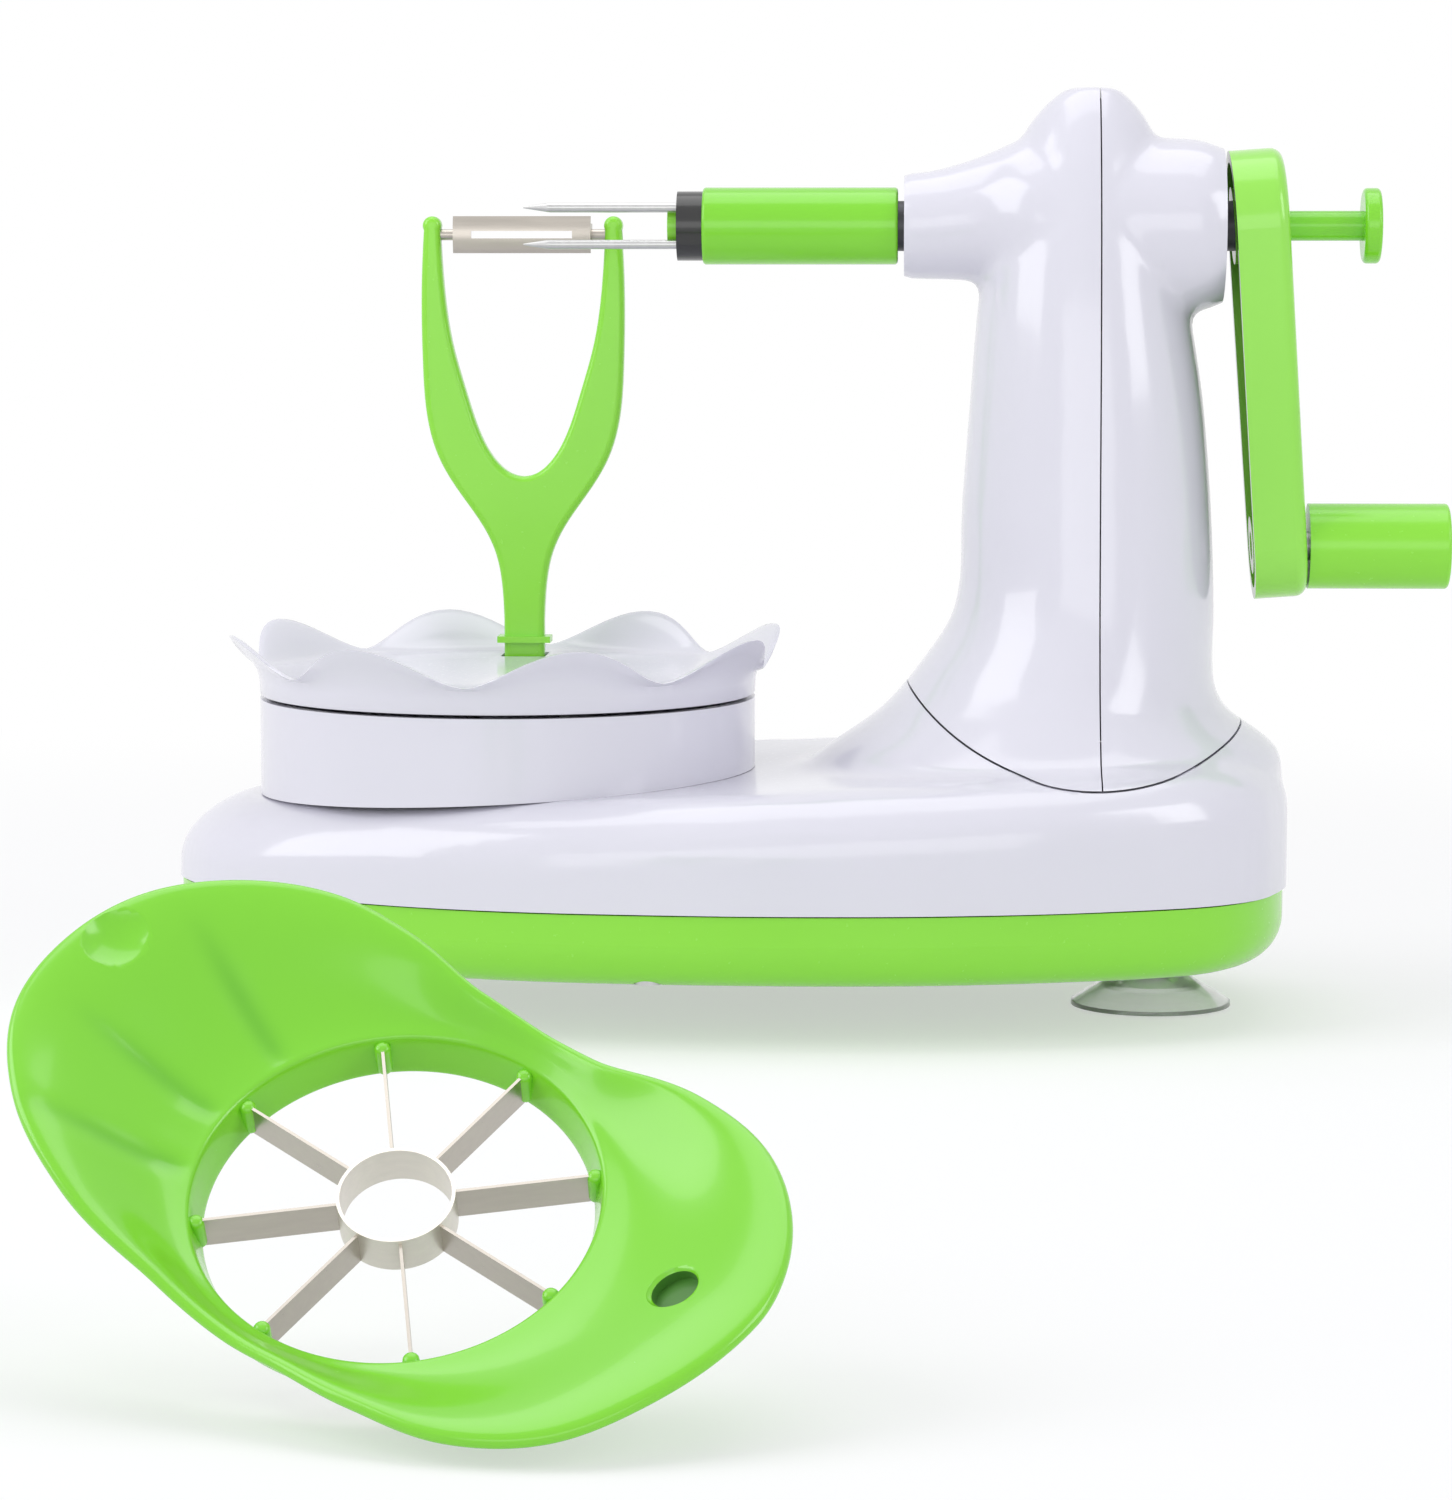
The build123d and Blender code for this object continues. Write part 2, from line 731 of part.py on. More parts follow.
def peeling_blade():
    """Slotted steel blade, bowed a little, with bent-up end tabs and stub pins."""
    bow = Pos(0, 6.0, 0) * Rot(0, 90, 0) * (
        Cylinder(10.0, blade_length) - Cylinder(10.0 - blade_steel, blade_length)
    )
    strip = bow & slab(-blade_length / 2, blade_length / 2, -6, 0, -blade_width / 2, blade_width / 2)
    slit = slab(-blade_length / 2 + 4, blade_length / 2 - 4, -8, 2, -blade_slit / 2, blade_slit / 2)
    strip = strip - slit
    for side in (-1, 1):
        x0 = side * blade_length / 2
        x1 = side * (blade_length / 2 - 1.0)
        tab = slab(min(x0, x1), max(x0, x1), -3.6, 2.0, -2.4, 2.4)
        strip = strip + tab
        start = side * (blade_length / 2 - 0.5)
        end = side * 21.0
        length = abs(end - start)
        strip = strip + along_x(min(start, end), blade_pin_radius, length, 0, 0)
    return strip


save("peeler_blade", place_on_arm(Pos(0, 0, blade_axis_z) * peeling_blade()))


# ================================================================ spindle, fork and crank
spindle_end_x = crank_inner_x + 8.0
tube = along_x(fork_hub_left_x + 4, tube_radius, spindle_end_x - fork_hub_left_x - 4)
tube = tube - along_x(-60, rod_radius + running_gap, 220)
save("spindle_tube", tube)
sleeve = rounded_bar(sleeve_left_x, sleeve_radius, sleeve_right_x - sleeve_left_x, 0.7)
sleeve = sleeve - along_x(-60, tube_radius, 220)
save("spindle_sleeve", sleeve)

hub = along_x(fork_hub_left_x, fork_hub_radius, sleeve_left_x - fork_hub_left_x)
hub = hub - along_x(fork_hub_left_x + 4, tube_radius, 10)
hub = hub - along_x(-60, rod_radius + running_gap, 100)
prongs = []
for n in range(4):
    angle = math.radians(45 + 90 * n)
    y = prong_circle * math.cos(angle)
    z = shaft_z + prong_circle * math.sin(angle)
    tine = along_x(prong_end_x + 5, prong_radius, fork_hub_left_x + 3 - prong_end_x - 5, y, z)
    point = Pos(prong_end_x + 2.5, y, z) * Rot(0, -90, 0) * Cone(prong_radius, 0.15, 5)
    prongs.append(tine + point)
    hub = hub - along_x(fork_hub_left_x - 1, prong_radius, 4, y, z)
save("fork_hub", hub)
for n, tine in enumerate(prongs, start=1):
    save(f"fork_prong_{n}", tine)


def link_outline(shrink):
    """Outline of the crank arm seen along the spindle, shrunk all round."""
    top = Circle(crank_hub_radius - shrink)
    tip = Pos(0, -crank_throw) * Circle(crank_tip_radius - shrink)
    return make_hull(top.edges() + tip.edges())


def crank_arm():
    """Green channel-shaped arm, open towards the column, leaning out at its tip."""
    plate = extrude(Plane.YZ * link_outline(0.0), crank_thickness)
    rim = plate.edges().group_by(Axis.X)[-1]
    plate = fillet(rim, 2.6)
    channel = extrude(Plane.YZ * link_outline(crank_wall), crank_thickness - crank_wall)
    channel = channel - Rot(0, 90, 0) * Cylinder(8.0, 60)
    channel = channel - Pos(0, 0, -crank_throw) * Rot(0, 90, 0) * Cylinder(6.0, 60)
    arm_body = plate - channel
    arm_body = Pos(crank_inner_x, 0, shaft_z) * Rot(0, -crank_lean, 0) * arm_body
    arm_body = arm_body - along_x(90, tube_radius, spindle_end_x - 90)
    arm_body = arm_body - along_x(90, rod_radius + running_gap, 60)
    pin_hole = along_x(90, grip_pin_radius, 60, 0, shaft_z - crank_throw)
    return arm_body - pin_hole


save("crank_arm", crank_arm())
grip_z = shaft_z - crank_throw
pin_start_x = crank_inner_x + 5.0
pin_end_x = grip_right_x - 5.4
grip_pin = along_x(pin_start_x, grip_pin_radius, pin_end_x - pin_start_x, 0, grip_z)
grip_pin = grip_pin + along_x(pin_end_x - 2.0, grip_pin_radius + 1.6, 2.0, 0, grip_z)
save("grip_pin", grip_pin)

grip = along_x(grip_left_x, grip_radius, grip_right_x - grip_cap - grip_left_x, 0, grip_z)
grip = grip - along_x(100, grip_pin_radius + running_gap, 80, 0, grip_z)
recess_x = pin_end_x - 2.0 - side_gap
grip = grip - along_x(recess_x, grip_pin_radius + 2.0, 30, 0, grip_z)
save("crank_grip", grip)
cap = along_x(grip_right_x - grip_cap, grip_radius, grip_cap, 0, grip_z)
cap = fillet(cap.edges().group_by(Axis.X)[-1], 0.8)
save("grip_end_cap", cap)

rod_left_x = fork_hub_left_x
rod = along_x(rod_left_x, rod_radius, knob_left_x + 1.5 - rod_left_x)
save("push_rod", rod)
tip_disc = along_x(rod_left_x - 2.0, 4.0, 2.0)
save("ejector_disc", tip_disc)
knob = rounded_bar(knob_left_x, knob_radius, knob_thickness, 0.9)
knob = knob - along_x(knob_left_x - 1, rod_radius, 2.5)
save("push_knob", knob)


# ================================================================ slicing corer
def corer_outline():
    """Rounded double-lobed outline of the corer seen from above."""
    upper = [(57.6, 3.0), (57.2, 12.0), (51.2, 24.0), (40.0, 33.0), (26.0, 36.0), (9.0, 33.6)]
    upper = upper + [(-12.0, 33.2), (-27.0, 33.8), (-37.0, 32.2), (-50.0, 24.2), (-58.6, 13.0)]
    lower = [(-61.2, 0.0), (-58.4, -13.4), (-48.0, -24.6), (-33.0, -31.4), (-14.0, -33.6)]
    lower = lower + [(6.0, -33.8), (21.0, -33.4), (36.0, -30.8), (47.4, -23.2), (54.4, -10.6)]
    loop = Spline(*upper, *lower, periodic=True).edge()
    return make_face([loop.trim(0.0, 0.5), loop.trim(0.5, 1.0)])


def dish_height(x, y):
    """Height of the handle's top face over the plane of the blades' ring."""
    reach = math.hypot(x, y)
    along = x / max(reach, 1.0)
    lobe_rise = right_lobe_rise if x > 0 else left_lobe_rise
    rise = side_rise + lobe_rise * abs(along) ** 1.6
    edge = 1 / math.hypot(along / dish_reach, math.sqrt(1 - along * along) / dish_side_reach)
    share = min(max((reach - opening_radius) / (edge - opening_radius), 0.0), 1.0)
    return rise * share * share * (3 - 2 * share)


side_rise = 3.2
right_lobe_rise = 5.8
left_lobe_rise = 10.0
dish_reach = 61.0
dish_side_reach = 36.0


def corer_sheet_solid():
    """Dished sheet that is lowest at the ring and rises to both handle ends."""
    rows = [
        [(x, y, dish_height(x, y) - corer_sheet) for y in range(-45, 46, 3)]
        for x in range(-69, 70, 3)
    ]
    under = Face.make_surface_from_array_of_points(
        [[Vector(*point) for point in row] for row in rows], tol=0.03
    )
    return extrude(under, amount=corer_sheet, dir=(0, 0, 1))


def corer_ring():
    """Wall around the opening, which narrows downwards."""
    foot = opening_radius - corer_ring_taper
    profile = [
        (opening_radius, -corer_sheet / 4),
        (foot, -corer_ring_depth),
        (foot + corer_ring_foot, -corer_ring_depth),
        (opening_radius + corer_ring_wall, -corer_sheet),
        (opening_radius + corer_ring_wall, -corer_sheet / 4),
    ]
    return turned(profile, 0, 0, 0)


def corer_handle():
    """Green handle plate with its blade ring."""
    sheet = corer_sheet_solid() & extrude(Pos(0, 0, -30) * corer_outline(), 60)
    body = sheet - Cylinder(opening_radius, 80)
    body = body + corer_ring()
    clip = slab(
        opening_radius - clip_reach,
        opening_radius + 1,
        -clip_width / 2,
        clip_width / 2,
        -corer_ring_depth + 0.2,
        -0.3,
    )
    for n in range(wedge_blades):
        body = body + Rot(0, 0, blade_turn + n * 360 / wedge_blades) * clip
    for n in range(wedge_blades):
        slot = slab(
            core_radius,
            opening_radius + 1.2,
            -wedge_steel / 2,
            wedge_steel / 2,
            -wedge_drop - wedge_height,
            -wedge_drop,
        )
        body = body - Rot(0, 0, blade_turn + n * 360 / wedge_blades) * slot
    dimple = Pos(-51, 3, dish_height(-51, 3) + 9.1) * Sphere(10)
    hang_hole = Pos(43.5, 7.0, dish_height(43.5, 7.0)) * Cylinder(3.3, 3.6)
    return body - dimple - hang_hole


blade_turn = 0.0
corer_place = (
    Pos(corer_x, corer_y, corer_rest_z)
    * Rot(corer_tip_up, 0, 0)
    * Rot(0, 0, corer_turn)
)
save("corer_handle", corer_place * corer_handle())
core_ring = Cylinder(core_radius, core_height) - Cylinder(core_radius - core_steel, core_height)
core_top = -wedge_drop + 0.7
save("corer_core_ring", corer_place * Pos(0, 0, core_top - core_height / 2) * core_ring)
for n in range(wedge_blades):
    strip = slab(
        core_radius,
        opening_radius + 1.2,
        -wedge_steel / 2,
        wedge_steel / 2,
        -wedge_drop - wedge_height,
        -wedge_drop,
    )
    strip = strip - Cylinder(core_radius, 60)
    turned_strip = Rot(0, 0, blade_turn + n * 360 / wedge_blades) * strip
    save(f"corer_blade_{n + 1}", corer_place * turned_strip)

print("idler_x", idler_x, "upright_x", upright_x, "corer hinge y", corer_y - corer_lay_reach)
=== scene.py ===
import math

import bmesh
import bpy
from mathutils import Matrix, Vector


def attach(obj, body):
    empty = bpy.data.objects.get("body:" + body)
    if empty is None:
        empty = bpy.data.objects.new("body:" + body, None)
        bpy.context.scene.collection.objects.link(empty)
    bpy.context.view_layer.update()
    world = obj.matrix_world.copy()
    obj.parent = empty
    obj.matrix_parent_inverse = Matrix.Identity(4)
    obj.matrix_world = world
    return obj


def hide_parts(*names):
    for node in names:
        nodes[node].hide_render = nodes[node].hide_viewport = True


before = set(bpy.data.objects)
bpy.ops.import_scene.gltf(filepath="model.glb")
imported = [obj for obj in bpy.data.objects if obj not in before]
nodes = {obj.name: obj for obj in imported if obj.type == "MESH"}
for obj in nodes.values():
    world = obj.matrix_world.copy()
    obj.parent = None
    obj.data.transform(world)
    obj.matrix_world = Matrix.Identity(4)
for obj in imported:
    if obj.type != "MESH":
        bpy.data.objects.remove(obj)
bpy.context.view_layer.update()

# %% [markdown]
# The parts of this apple peeler arrive from the CAD model already in place, in metres.
# The script gives each of them a finish, and it models again the pieces whose real form is
# softer than a CAD solid: the slicing corer's handle with its blade clips, the petal tray,
# the base cover and the two halves of the column.
# Each of these pieces is said to ride on a body, so it moves with the corer or the tray, or stays
# with the base.

# %% Shortcuts for building materials


def new_material(name):
    """An empty node material and its Principled shader."""
    material = bpy.data.materials.new(name)
    material.use_nodes = True
    shader = material.node_tree.nodes["Principled BSDF"]
    return material, shader


def add(tree, kind, **settings):
    """A node of that kind, with its properties set."""
    node = tree.nodes.new(kind)
    for key, value in settings.items():
        setattr(node, key, value)
    return node


def join(tree, source, target):
    """A wire from one socket to another."""
    tree.links.new(source, target)


# %% [markdown]
# Moulded plastic is never quite even. Its gloss changes a little where the mould was
# polished by hand, it has a faint orange-peel waviness, and fine dust and rub marks dull it.
# Those three effects are the same on all the plastic parts, so they are built
# once as a node group. The group puts out a colour, a roughness and a height, and each
# material keeps its own shader, because an exporter can't look for a shader inside a group.

# %% Moulded plastic group


def moulded_group():
    """Colour, roughness and height of a moulded plastic surface."""
    group = bpy.data.node_groups.new("moulded plastic", "ShaderNodeTree")
    sockets = group.interface
    sockets.new_socket("Colour", in_out="INPUT", socket_type="NodeSocketColor")
    sockets.new_socket("Deep colour", in_out="INPUT", socket_type="NodeSocketColor")
    sockets.new_socket("Gloss roughness", in_out="INPUT", socket_type="NodeSocketFloat")
    sockets.new_socket("Worn roughness", in_out="INPUT", socket_type="NodeSocketFloat")
    sockets.new_socket("Colour", in_out="OUTPUT", socket_type="NodeSocketColor")
    sockets.new_socket("Roughness", in_out="OUTPUT", socket_type="NodeSocketFloat")
    sockets.new_socket("Height", in_out="OUTPUT", socket_type="NodeSocketFloat")
    start = add(group, "NodeGroupInput")
    end = add(group, "NodeGroupOutput")
    place = add(group, "ShaderNodeTexCoord")
    cloud = add(group, "ShaderNodeTexNoise")
    cloud.inputs["Scale"].default_value = 22.0
    cloud.inputs["Detail"].default_value = 3.0
    specks = add(group, "ShaderNodeTexNoise")
    specks.inputs["Scale"].default_value = 900.0
    specks.inputs["Detail"].default_value = 4.0
    peel = add(group, "ShaderNodeTexNoise")
    peel.inputs["Scale"].default_value = 160.0
    peel.inputs["Detail"].default_value = 1.0
    for texture in (cloud, specks, peel):
        join(group, place.outputs["Object"], texture.inputs["Vector"])
    tint = add(group, "ShaderNodeMix", data_type="RGBA")
    join(group, cloud.outputs["Fac"], tint.inputs["Factor"])
    join(group, start.outputs["Colour"], tint.inputs["A"])
    join(group, start.outputs["Deep colour"], tint.inputs["B"])
    join(group, tint.outputs["Result"], end.inputs["Colour"])
    rub = add(group, "ShaderNodeMapRange")
    rub.inputs["From Min"].default_value = 0.6
    rub.inputs["From Max"].default_value = 0.95
    join(group, specks.outputs["Fac"], rub.inputs["Value"])
    dull = add(group, "ShaderNodeMix", data_type="FLOAT")
    join(group, rub.outputs["Result"], dull.inputs["Factor"])
    join(group, start.outputs["Gloss roughness"], dull.inputs["A"])
    join(group, start.outputs["Worn roughness"], dull.inputs["B"])
    join(group, dull.outputs["Result"], end.inputs["Roughness"])
    join(group, peel.outputs["Fac"], end.inputs["Height"])
    return group


moulded = moulded_group()


def paint_shade(tree, shader, mask, tint):
    """Lay painted shade, a darker colour, over the base colour where the mask is high."""
    before = shader.inputs["Base Color"].links[0].from_socket
    blend = add(tree, "ShaderNodeMix", data_type="RGBA")
    blend.inputs["B"].default_value = (*tint, 1)
    join(tree, mask, blend.inputs["Factor"])
    join(tree, before, blend.inputs["A"])
    join(tree, blend.outputs["Result"], shader.inputs["Base Color"])


def plastic(
    name,
    colour,
    deep,
    gloss=0.16,
    worn=0.34,
    wave=0.02,
    coat=0.25,
    side_shade=None,
    crease=None,
):
    """Moulded plastic of one colour, with painted shade on its -X side or in its folds if asked.
    """
    material, shader = new_material(name)
    tree = material.node_tree
    skin = add(tree, "ShaderNodeGroup", node_tree=moulded)
    skin.inputs["Colour"].default_value = (*colour, 1)
    skin.inputs["Deep colour"].default_value = (*deep, 1)
    skin.inputs["Gloss roughness"].default_value = gloss
    skin.inputs["Worn roughness"].default_value = worn
    join(tree, skin.outputs["Colour"], shader.inputs["Base Color"])
    if side_shade:
        # Painted shade: faces that turn towards -X get a darker green, as if in shadow.
        facing = add(tree, "ShaderNodeTexCoord")
        across = add(tree, "ShaderNodeSeparateXYZ")
        join(tree, facing.outputs["Normal"], across.inputs[0])
        side_shade_mask = add(tree, "ShaderNodeMapRange")
        side_shade_mask.inputs["From Min"].default_value = -0.35
        side_shade_mask.inputs["From Max"].default_value = -0.85
        join(tree, across.outputs["X"], side_shade_mask.inputs["Value"])
        paint_shade(tree, shader, side_shade_mask.outputs["Result"], side_shade)
    # Painted shade in the folds, as deep as each fold.
    if crease:
        fold = add(tree, "ShaderNodeAttribute", attribute_name="crease")
        paint_shade(tree, shader, fold.outputs["Fac"], crease)
    join(tree, skin.outputs["Roughness"], shader.inputs["Roughness"])
    bump = add(tree, "ShaderNodeBump")
    bump.inputs["Strength"].default_value = wave
    bump.inputs["Distance"].default_value = 0.0006
    join(tree, skin.outputs["Height"], bump.inputs["Height"])
    join(tree, bump.outputs["Normal"], shader.inputs["Normal"])
    shader.inputs["IOR"].default_value = 1.5
    shader.inputs["Coat Weight"].default_value = coat
    shader.inputs["Coat Roughness"].default_value = 0.05
    print("plastic", name)
    return material


white_gloss = plastic("white gloss", (0.70, 0.69, 0.76), (0.675, 0.665, 0.737), wave=0.01)
lime_gloss = plastic(
    "lime gloss", (0.26, 0.72, 0.04), (0.235, 0.68, 0.035), 0.24, 0.36, coat=0.15
)
arm_lime = plastic(
    "arm lime",
    (0.30, 0.74, 0.08),
    (0.27, 0.7, 0.07),
    0.2,
    0.3,
    coat=0.3,
    # Painted shade on the crank arm's side that faces -X.
    side_shade=(0.02, 0.15, 0.005),
)
deep_lime = plastic(
    "deep lime",
    (0.215, 0.66, 0.025),
    (0.19, 0.62, 0.02),
    0.2,
    0.34,
    coat=0.22,
    # Painted shade in the folds of the corer handle.
    crease=(0.07, 0.36, 0.01),
)
lime_shade = plastic(
    "lime in shade", (0.06, 0.22, 0.02), (0.05, 0.19, 0.02), gloss=0.4, worn=0.5
)
black_gloss = plastic("black gloss", (0.012, 0.012, 0.013), (0.02, 0.02, 0.02), gloss=0.22)
gear_white = plastic("gear acetal", (0.62, 0.6, 0.54), (0.55, 0.53, 0.47), 0.42, 0.6, coat=0.0)

# %% [markdown]
# Stainless blades are rolled and then brushed along their length, so their gloss is
# streaked. Noise stretched by a Mapping node gives streaks, and it drives both the colour
# and the roughness. Screws and pins take the same steel with shorter streaks.

# %% Steel


def steel(name, colour, streak, rough=(0.22, 0.42)):
    """Brushed steel whose streaks are stretched by the streak scale."""
    material, shader = new_material(name)
    tree = material.node_tree
    place = add(tree, "ShaderNodeTexCoord")
    stretch = add(tree, "ShaderNodeMapping")
    stretch.inputs["Scale"].default_value = streak
    grain = add(tree, "ShaderNodeTexNoise")
    grain.inputs["Scale"].default_value = 1.0
    grain.inputs["Detail"].default_value = 5.0
    join(tree, place.outputs["Object"], stretch.inputs["Vector"])
    join(tree, stretch.outputs["Vector"], grain.inputs["Vector"])
    shade = add(tree, "ShaderNodeMix", data_type="RGBA")
    shade.inputs["A"].default_value = (*[c * 0.82 for c in colour], 1)
    shade.inputs["B"].default_value = (*colour, 1)
    join(tree, grain.outputs["Fac"], shade.inputs["Factor"])
    join(tree, shade.outputs["Result"], shader.inputs["Base Color"])
    gloss = add(tree, "ShaderNodeMapRange")
    gloss.inputs["To Min"].default_value = rough[0]
    gloss.inputs["To Max"].default_value = rough[1]
    join(tree, grain.outputs["Fac"], gloss.inputs["Value"])
    join(tree, gloss.outputs["Result"], shader.inputs["Roughness"])
    shader.inputs["Metallic"].default_value = 1.0
    print("steel", name)
    return material


blade_steel = steel("blade steel", (0.54, 0.50, 0.45), (60, 900, 900))
ring_steel = steel("ring steel", (0.78, 0.74, 0.68), (120, 900, 900), (0.3, 0.5))
# The spindle tube's near-black steel is painted shade where the tube shows between the fork hub
# and the sleeve.
shadow_tube_steel = steel("tube steel", (0.10, 0.10, 0.11), (60, 900, 900), (0.3, 0.5))
pin_steel = steel("pin steel", (0.6, 0.6, 0.6), (900, 900, 60))

# %% [markdown]
# The suction cups are soft clear vinyl, a little smoky where it is thick. Transmission with
# a fine cloudiness in the roughness does it, and a plain metallic value stays at zero.

# %% Clear vinyl


def clear_vinyl():
    """Soft clear plastic of the suction cups."""
    material, shader = new_material("clear vinyl")
    tree = material.node_tree
    place = add(tree, "ShaderNodeTexCoord")
    cloud = add(tree, "ShaderNodeTexNoise")
    cloud.inputs["Scale"].default_value = 140.0
    join(tree, place.outputs["Object"], cloud.inputs["Vector"])
    haze = add(tree, "ShaderNodeMapRange")
    haze.inputs["To Min"].default_value = 0.08
    haze.inputs["To Max"].default_value = 0.2
    join(tree, cloud.outputs["Fac"], haze.inputs["Value"])
    join(tree, haze.outputs["Result"], shader.inputs["Roughness"])
    shader.inputs["Base Color"].default_value = (0.86, 0.88, 0.86, 1)
    shader.inputs["Transmission Weight"].default_value = 0.9
    shader.inputs["IOR"].default_value = 1.4
    return material


vinyl = clear_vinyl()

# %% Which finish each CAD part gets
finishes = {
    white_gloss: ["base_cover", "turntable_pedestal", "column_left_shell", "column_right_shell"]
    + ["flower_tray", "arm_bracket"],
    arm_lime: ["crank_arm"],
    deep_lime: ["spindle_sleeve", "push_rod", "push_knob", "corer_handle"],
    lime_gloss: ["base_pan", "crank_grip", "grip_end_cap", "ejector_disc", "blade_arm"],
    black_gloss: ["fork_hub"],
    gear_white: ["spindle_bush_left", "spindle_bush_right", "upper_shaft_guide"]
    + ["lower_shaft_guide", "drive_bevel_gear", "driven_bevel_gear", "column_pinion"]
    + ["idler_gear", "turntable_gear", "shaft_collar"],
    vinyl: [name for name in nodes if name.startswith("suction_cup")],
    ring_steel: ["corer_core_ring"],
    shadow_tube_steel: ["spindle_tube"],
}
for material, names in finishes.items():
    for name in names:
        for slot in nodes[name].material_slots:
            slot.material = material
covered = {name for names in finishes.values() for name in names}
for name in nodes:
    if name not in covered:
        finish = blade_steel if "blade" in name or "core" in name else pin_steel
        for slot in nodes[name].material_slots:
            slot.material = finish
print("finishes set on", len(nodes), "nodes")

# %% [markdown]
# The slicing corer is a loose tool that stands tipped up in front of the machine. All of its
# pieces are first made flat, round the middle of its opening, and one matrix then puts them
# in place. Writing that matrix once keeps the handle, clips and blades together.

# %% Where the corer stands
mm = 0.001
corer_place = (
    Matrix.Translation((-0.0324, -0.3373, 0.02768))
    @ Matrix.Rotation(math.radians(39.5), 4, "X")
    @ Matrix.Rotation(math.radians(-36.0), 4, "Z")
)
opening_radius = 28.5


def dressed(piece, material, body, stands_for):
    """Smooth shading with crisp corners, a finish, and the body the piece rides on."""
    for face in piece.data.polygons:
        face.use_smooth = True
    piece.data.set_sharp_from_angle(angle=math.radians(38))
    if not piece.data.materials:
        piece.data.materials.append(material)
    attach(piece, body)
    if stands_for:
        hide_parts(*stands_for)
    print(piece.name, len(piece.data.polygons), "faces")


def as_object(mesh, name):
    """Turn a bmesh into an object of its own."""
    data = bpy.data.meshes.new(name)
    mesh.to_mesh(data)
    mesh.free()
    piece = bpy.data.objects.new(name, data)
    bpy.context.collection.objects.link(piece)
    return piece


def with_modifiers_applied(piece):
    """Bake the modifiers of a piece into its mesh."""
    depsgraph = bpy.context.evaluated_depsgraph_get()
    baked = bpy.data.meshes.new_from_object(piece.evaluated_get(depsgraph))
    piece.modifiers.clear()
    piece.data = baked


def smoothstep(share):
    """Soft ramp from 0 to 1."""
    share = min(max(share, 0.0), 1.0)
    return share * share * (3 - 2 * share)


# %% [markdown]
# The handle is one moulded sheet: it is lowest round the opening and rises to a thumb lobe at
# each end, and its rim is rolled to a round edge. One could sculpt it, or loft it through
# many sections. Here its section is drawn once, spun round the opening, and then every point
# is pushed out to the outline and up to the dish. That keeps the rolled rim the same
# thickness everywhere, and the loops of faces run round the opening, where light shows them.

# %% Outline and dish of the handle
handle_outline = [(57.6, 3.0), (57.2, 12.0), (51.2, 24.0), (40.0, 33.0), (26.0, 36.0)]
handle_outline += [(9.0, 33.6), (-12.0, 33.2), (-27.0, 33.8), (-37.0, 32.2), (-50.0, 24.2)]
handle_outline += [(-58.6, 13.0), (-61.2, 0.0), (-58.4, -13.4), (-48.0, -24.6), (-33.0, -31.4)]
handle_outline += [(-14.0, -33.6), (6.0, -33.8), (21.0, -33.4), (36.0, -30.8), (47.4, -23.2)]
handle_outline += [(54.4, -10.6)]
rim_stops = sorted((math.atan2(y, x), math.hypot(x, y)) for x, y in handle_outline)


def rim_reach(angle):
    """Distance from the middle of the opening to the rim, in a smooth curve."""
    count = len(rim_stops)
    turn = 2 * math.pi
    after = next((n for n, stop in enumerate(rim_stops) if stop[0] > angle), count)
    spots = []
    for n in range(after - 2, after + 2):
        lap, place = divmod(n, count)
        spots.append((rim_stops[place][0] + lap * turn, rim_stops[place][1]))
    (a0, r0), (a1, r1), (a2, r2), (a3, r3) = spots
    share = (angle - a1) / (a2 - a1)
    slope_1 = (r2 - r0) / (a2 - a0) * (a2 - a1)
    slope_2 = (r3 - r1) / (a3 - a1) * (a2 - a1)
    s2, s3 = share * share, share**3
    start = (2 * s3 - 3 * s2 + 1) * r1 + (s3 - 2 * s2 + share) * slope_1
    return start + (3 * s2 - 2 * s3) * r2 + (s3 - s2) * slope_2


def dish_rise(angle, reach):
    """Height of the top face over the plane of the opening."""
    lobe = 5.8 if math.cos(angle) > 0 else 10.0
    rise = 3.2 + lobe * abs(math.cos(angle)) ** 1.6
    return rise * smoothstep((reach - opening_radius) / (rim_reach(angle) - opening_radius))


thumb_folds = [math.radians(a) for a in (163.5, -172.0, -152.0)]
fold_peak, fold_width = 0.7, 1.6
fold_start, fold_end = 28.8, 56.0


def fold_depth(angle, reach):
    """Three faint creases that fan out over the left lobe."""
    depth = 0.0
    for fold in thumb_folds:
        away = math.remainder(angle - fold, 2 * math.pi) * reach
        depth += fold_peak * math.exp(-((away / fold_width) ** 2))
    fade_in = smoothstep((reach - fold_start) / 4.0)
    fade_out = smoothstep((fold_end - reach) / 16.0)
    return depth * fade_in * fade_out


print("rim reaches from", round(min(r for a, r in rim_stops), 1), "mm")

# %% Spinning the section, then pushing it into the dish
handle_section = [(28.55, -0.5), (28.9, -0.12), (29.5, 0.0), (30.5, 0.0), (31.5, 0.0)]
handle_section += [(33.0, 0.0), (34.5, 0.0), (36.0, 0.0), (37.4, 0.0), (38.6, -0.02)]
handle_section += [(39.6, -0.4), (40.0, -1.3), (39.6, -2.2), (38.6, -2.58), (36.0, -2.6)]
handle_section += [(33.5, -2.6), (32.0, -2.75), (31.3, -3.2), (30.5, -5.8), (30.1, -6.44)]
handle_section += [(29.2, -6.46), (27.9, -6.46), (27.1, -6.3), (27.6, -4.6), (28.1, -2.4)]
# The sheet is stretched from here out to where its rolled rim starts.
stretch_start, roll_start, roll_width = 30.5, 38.0, 2.0


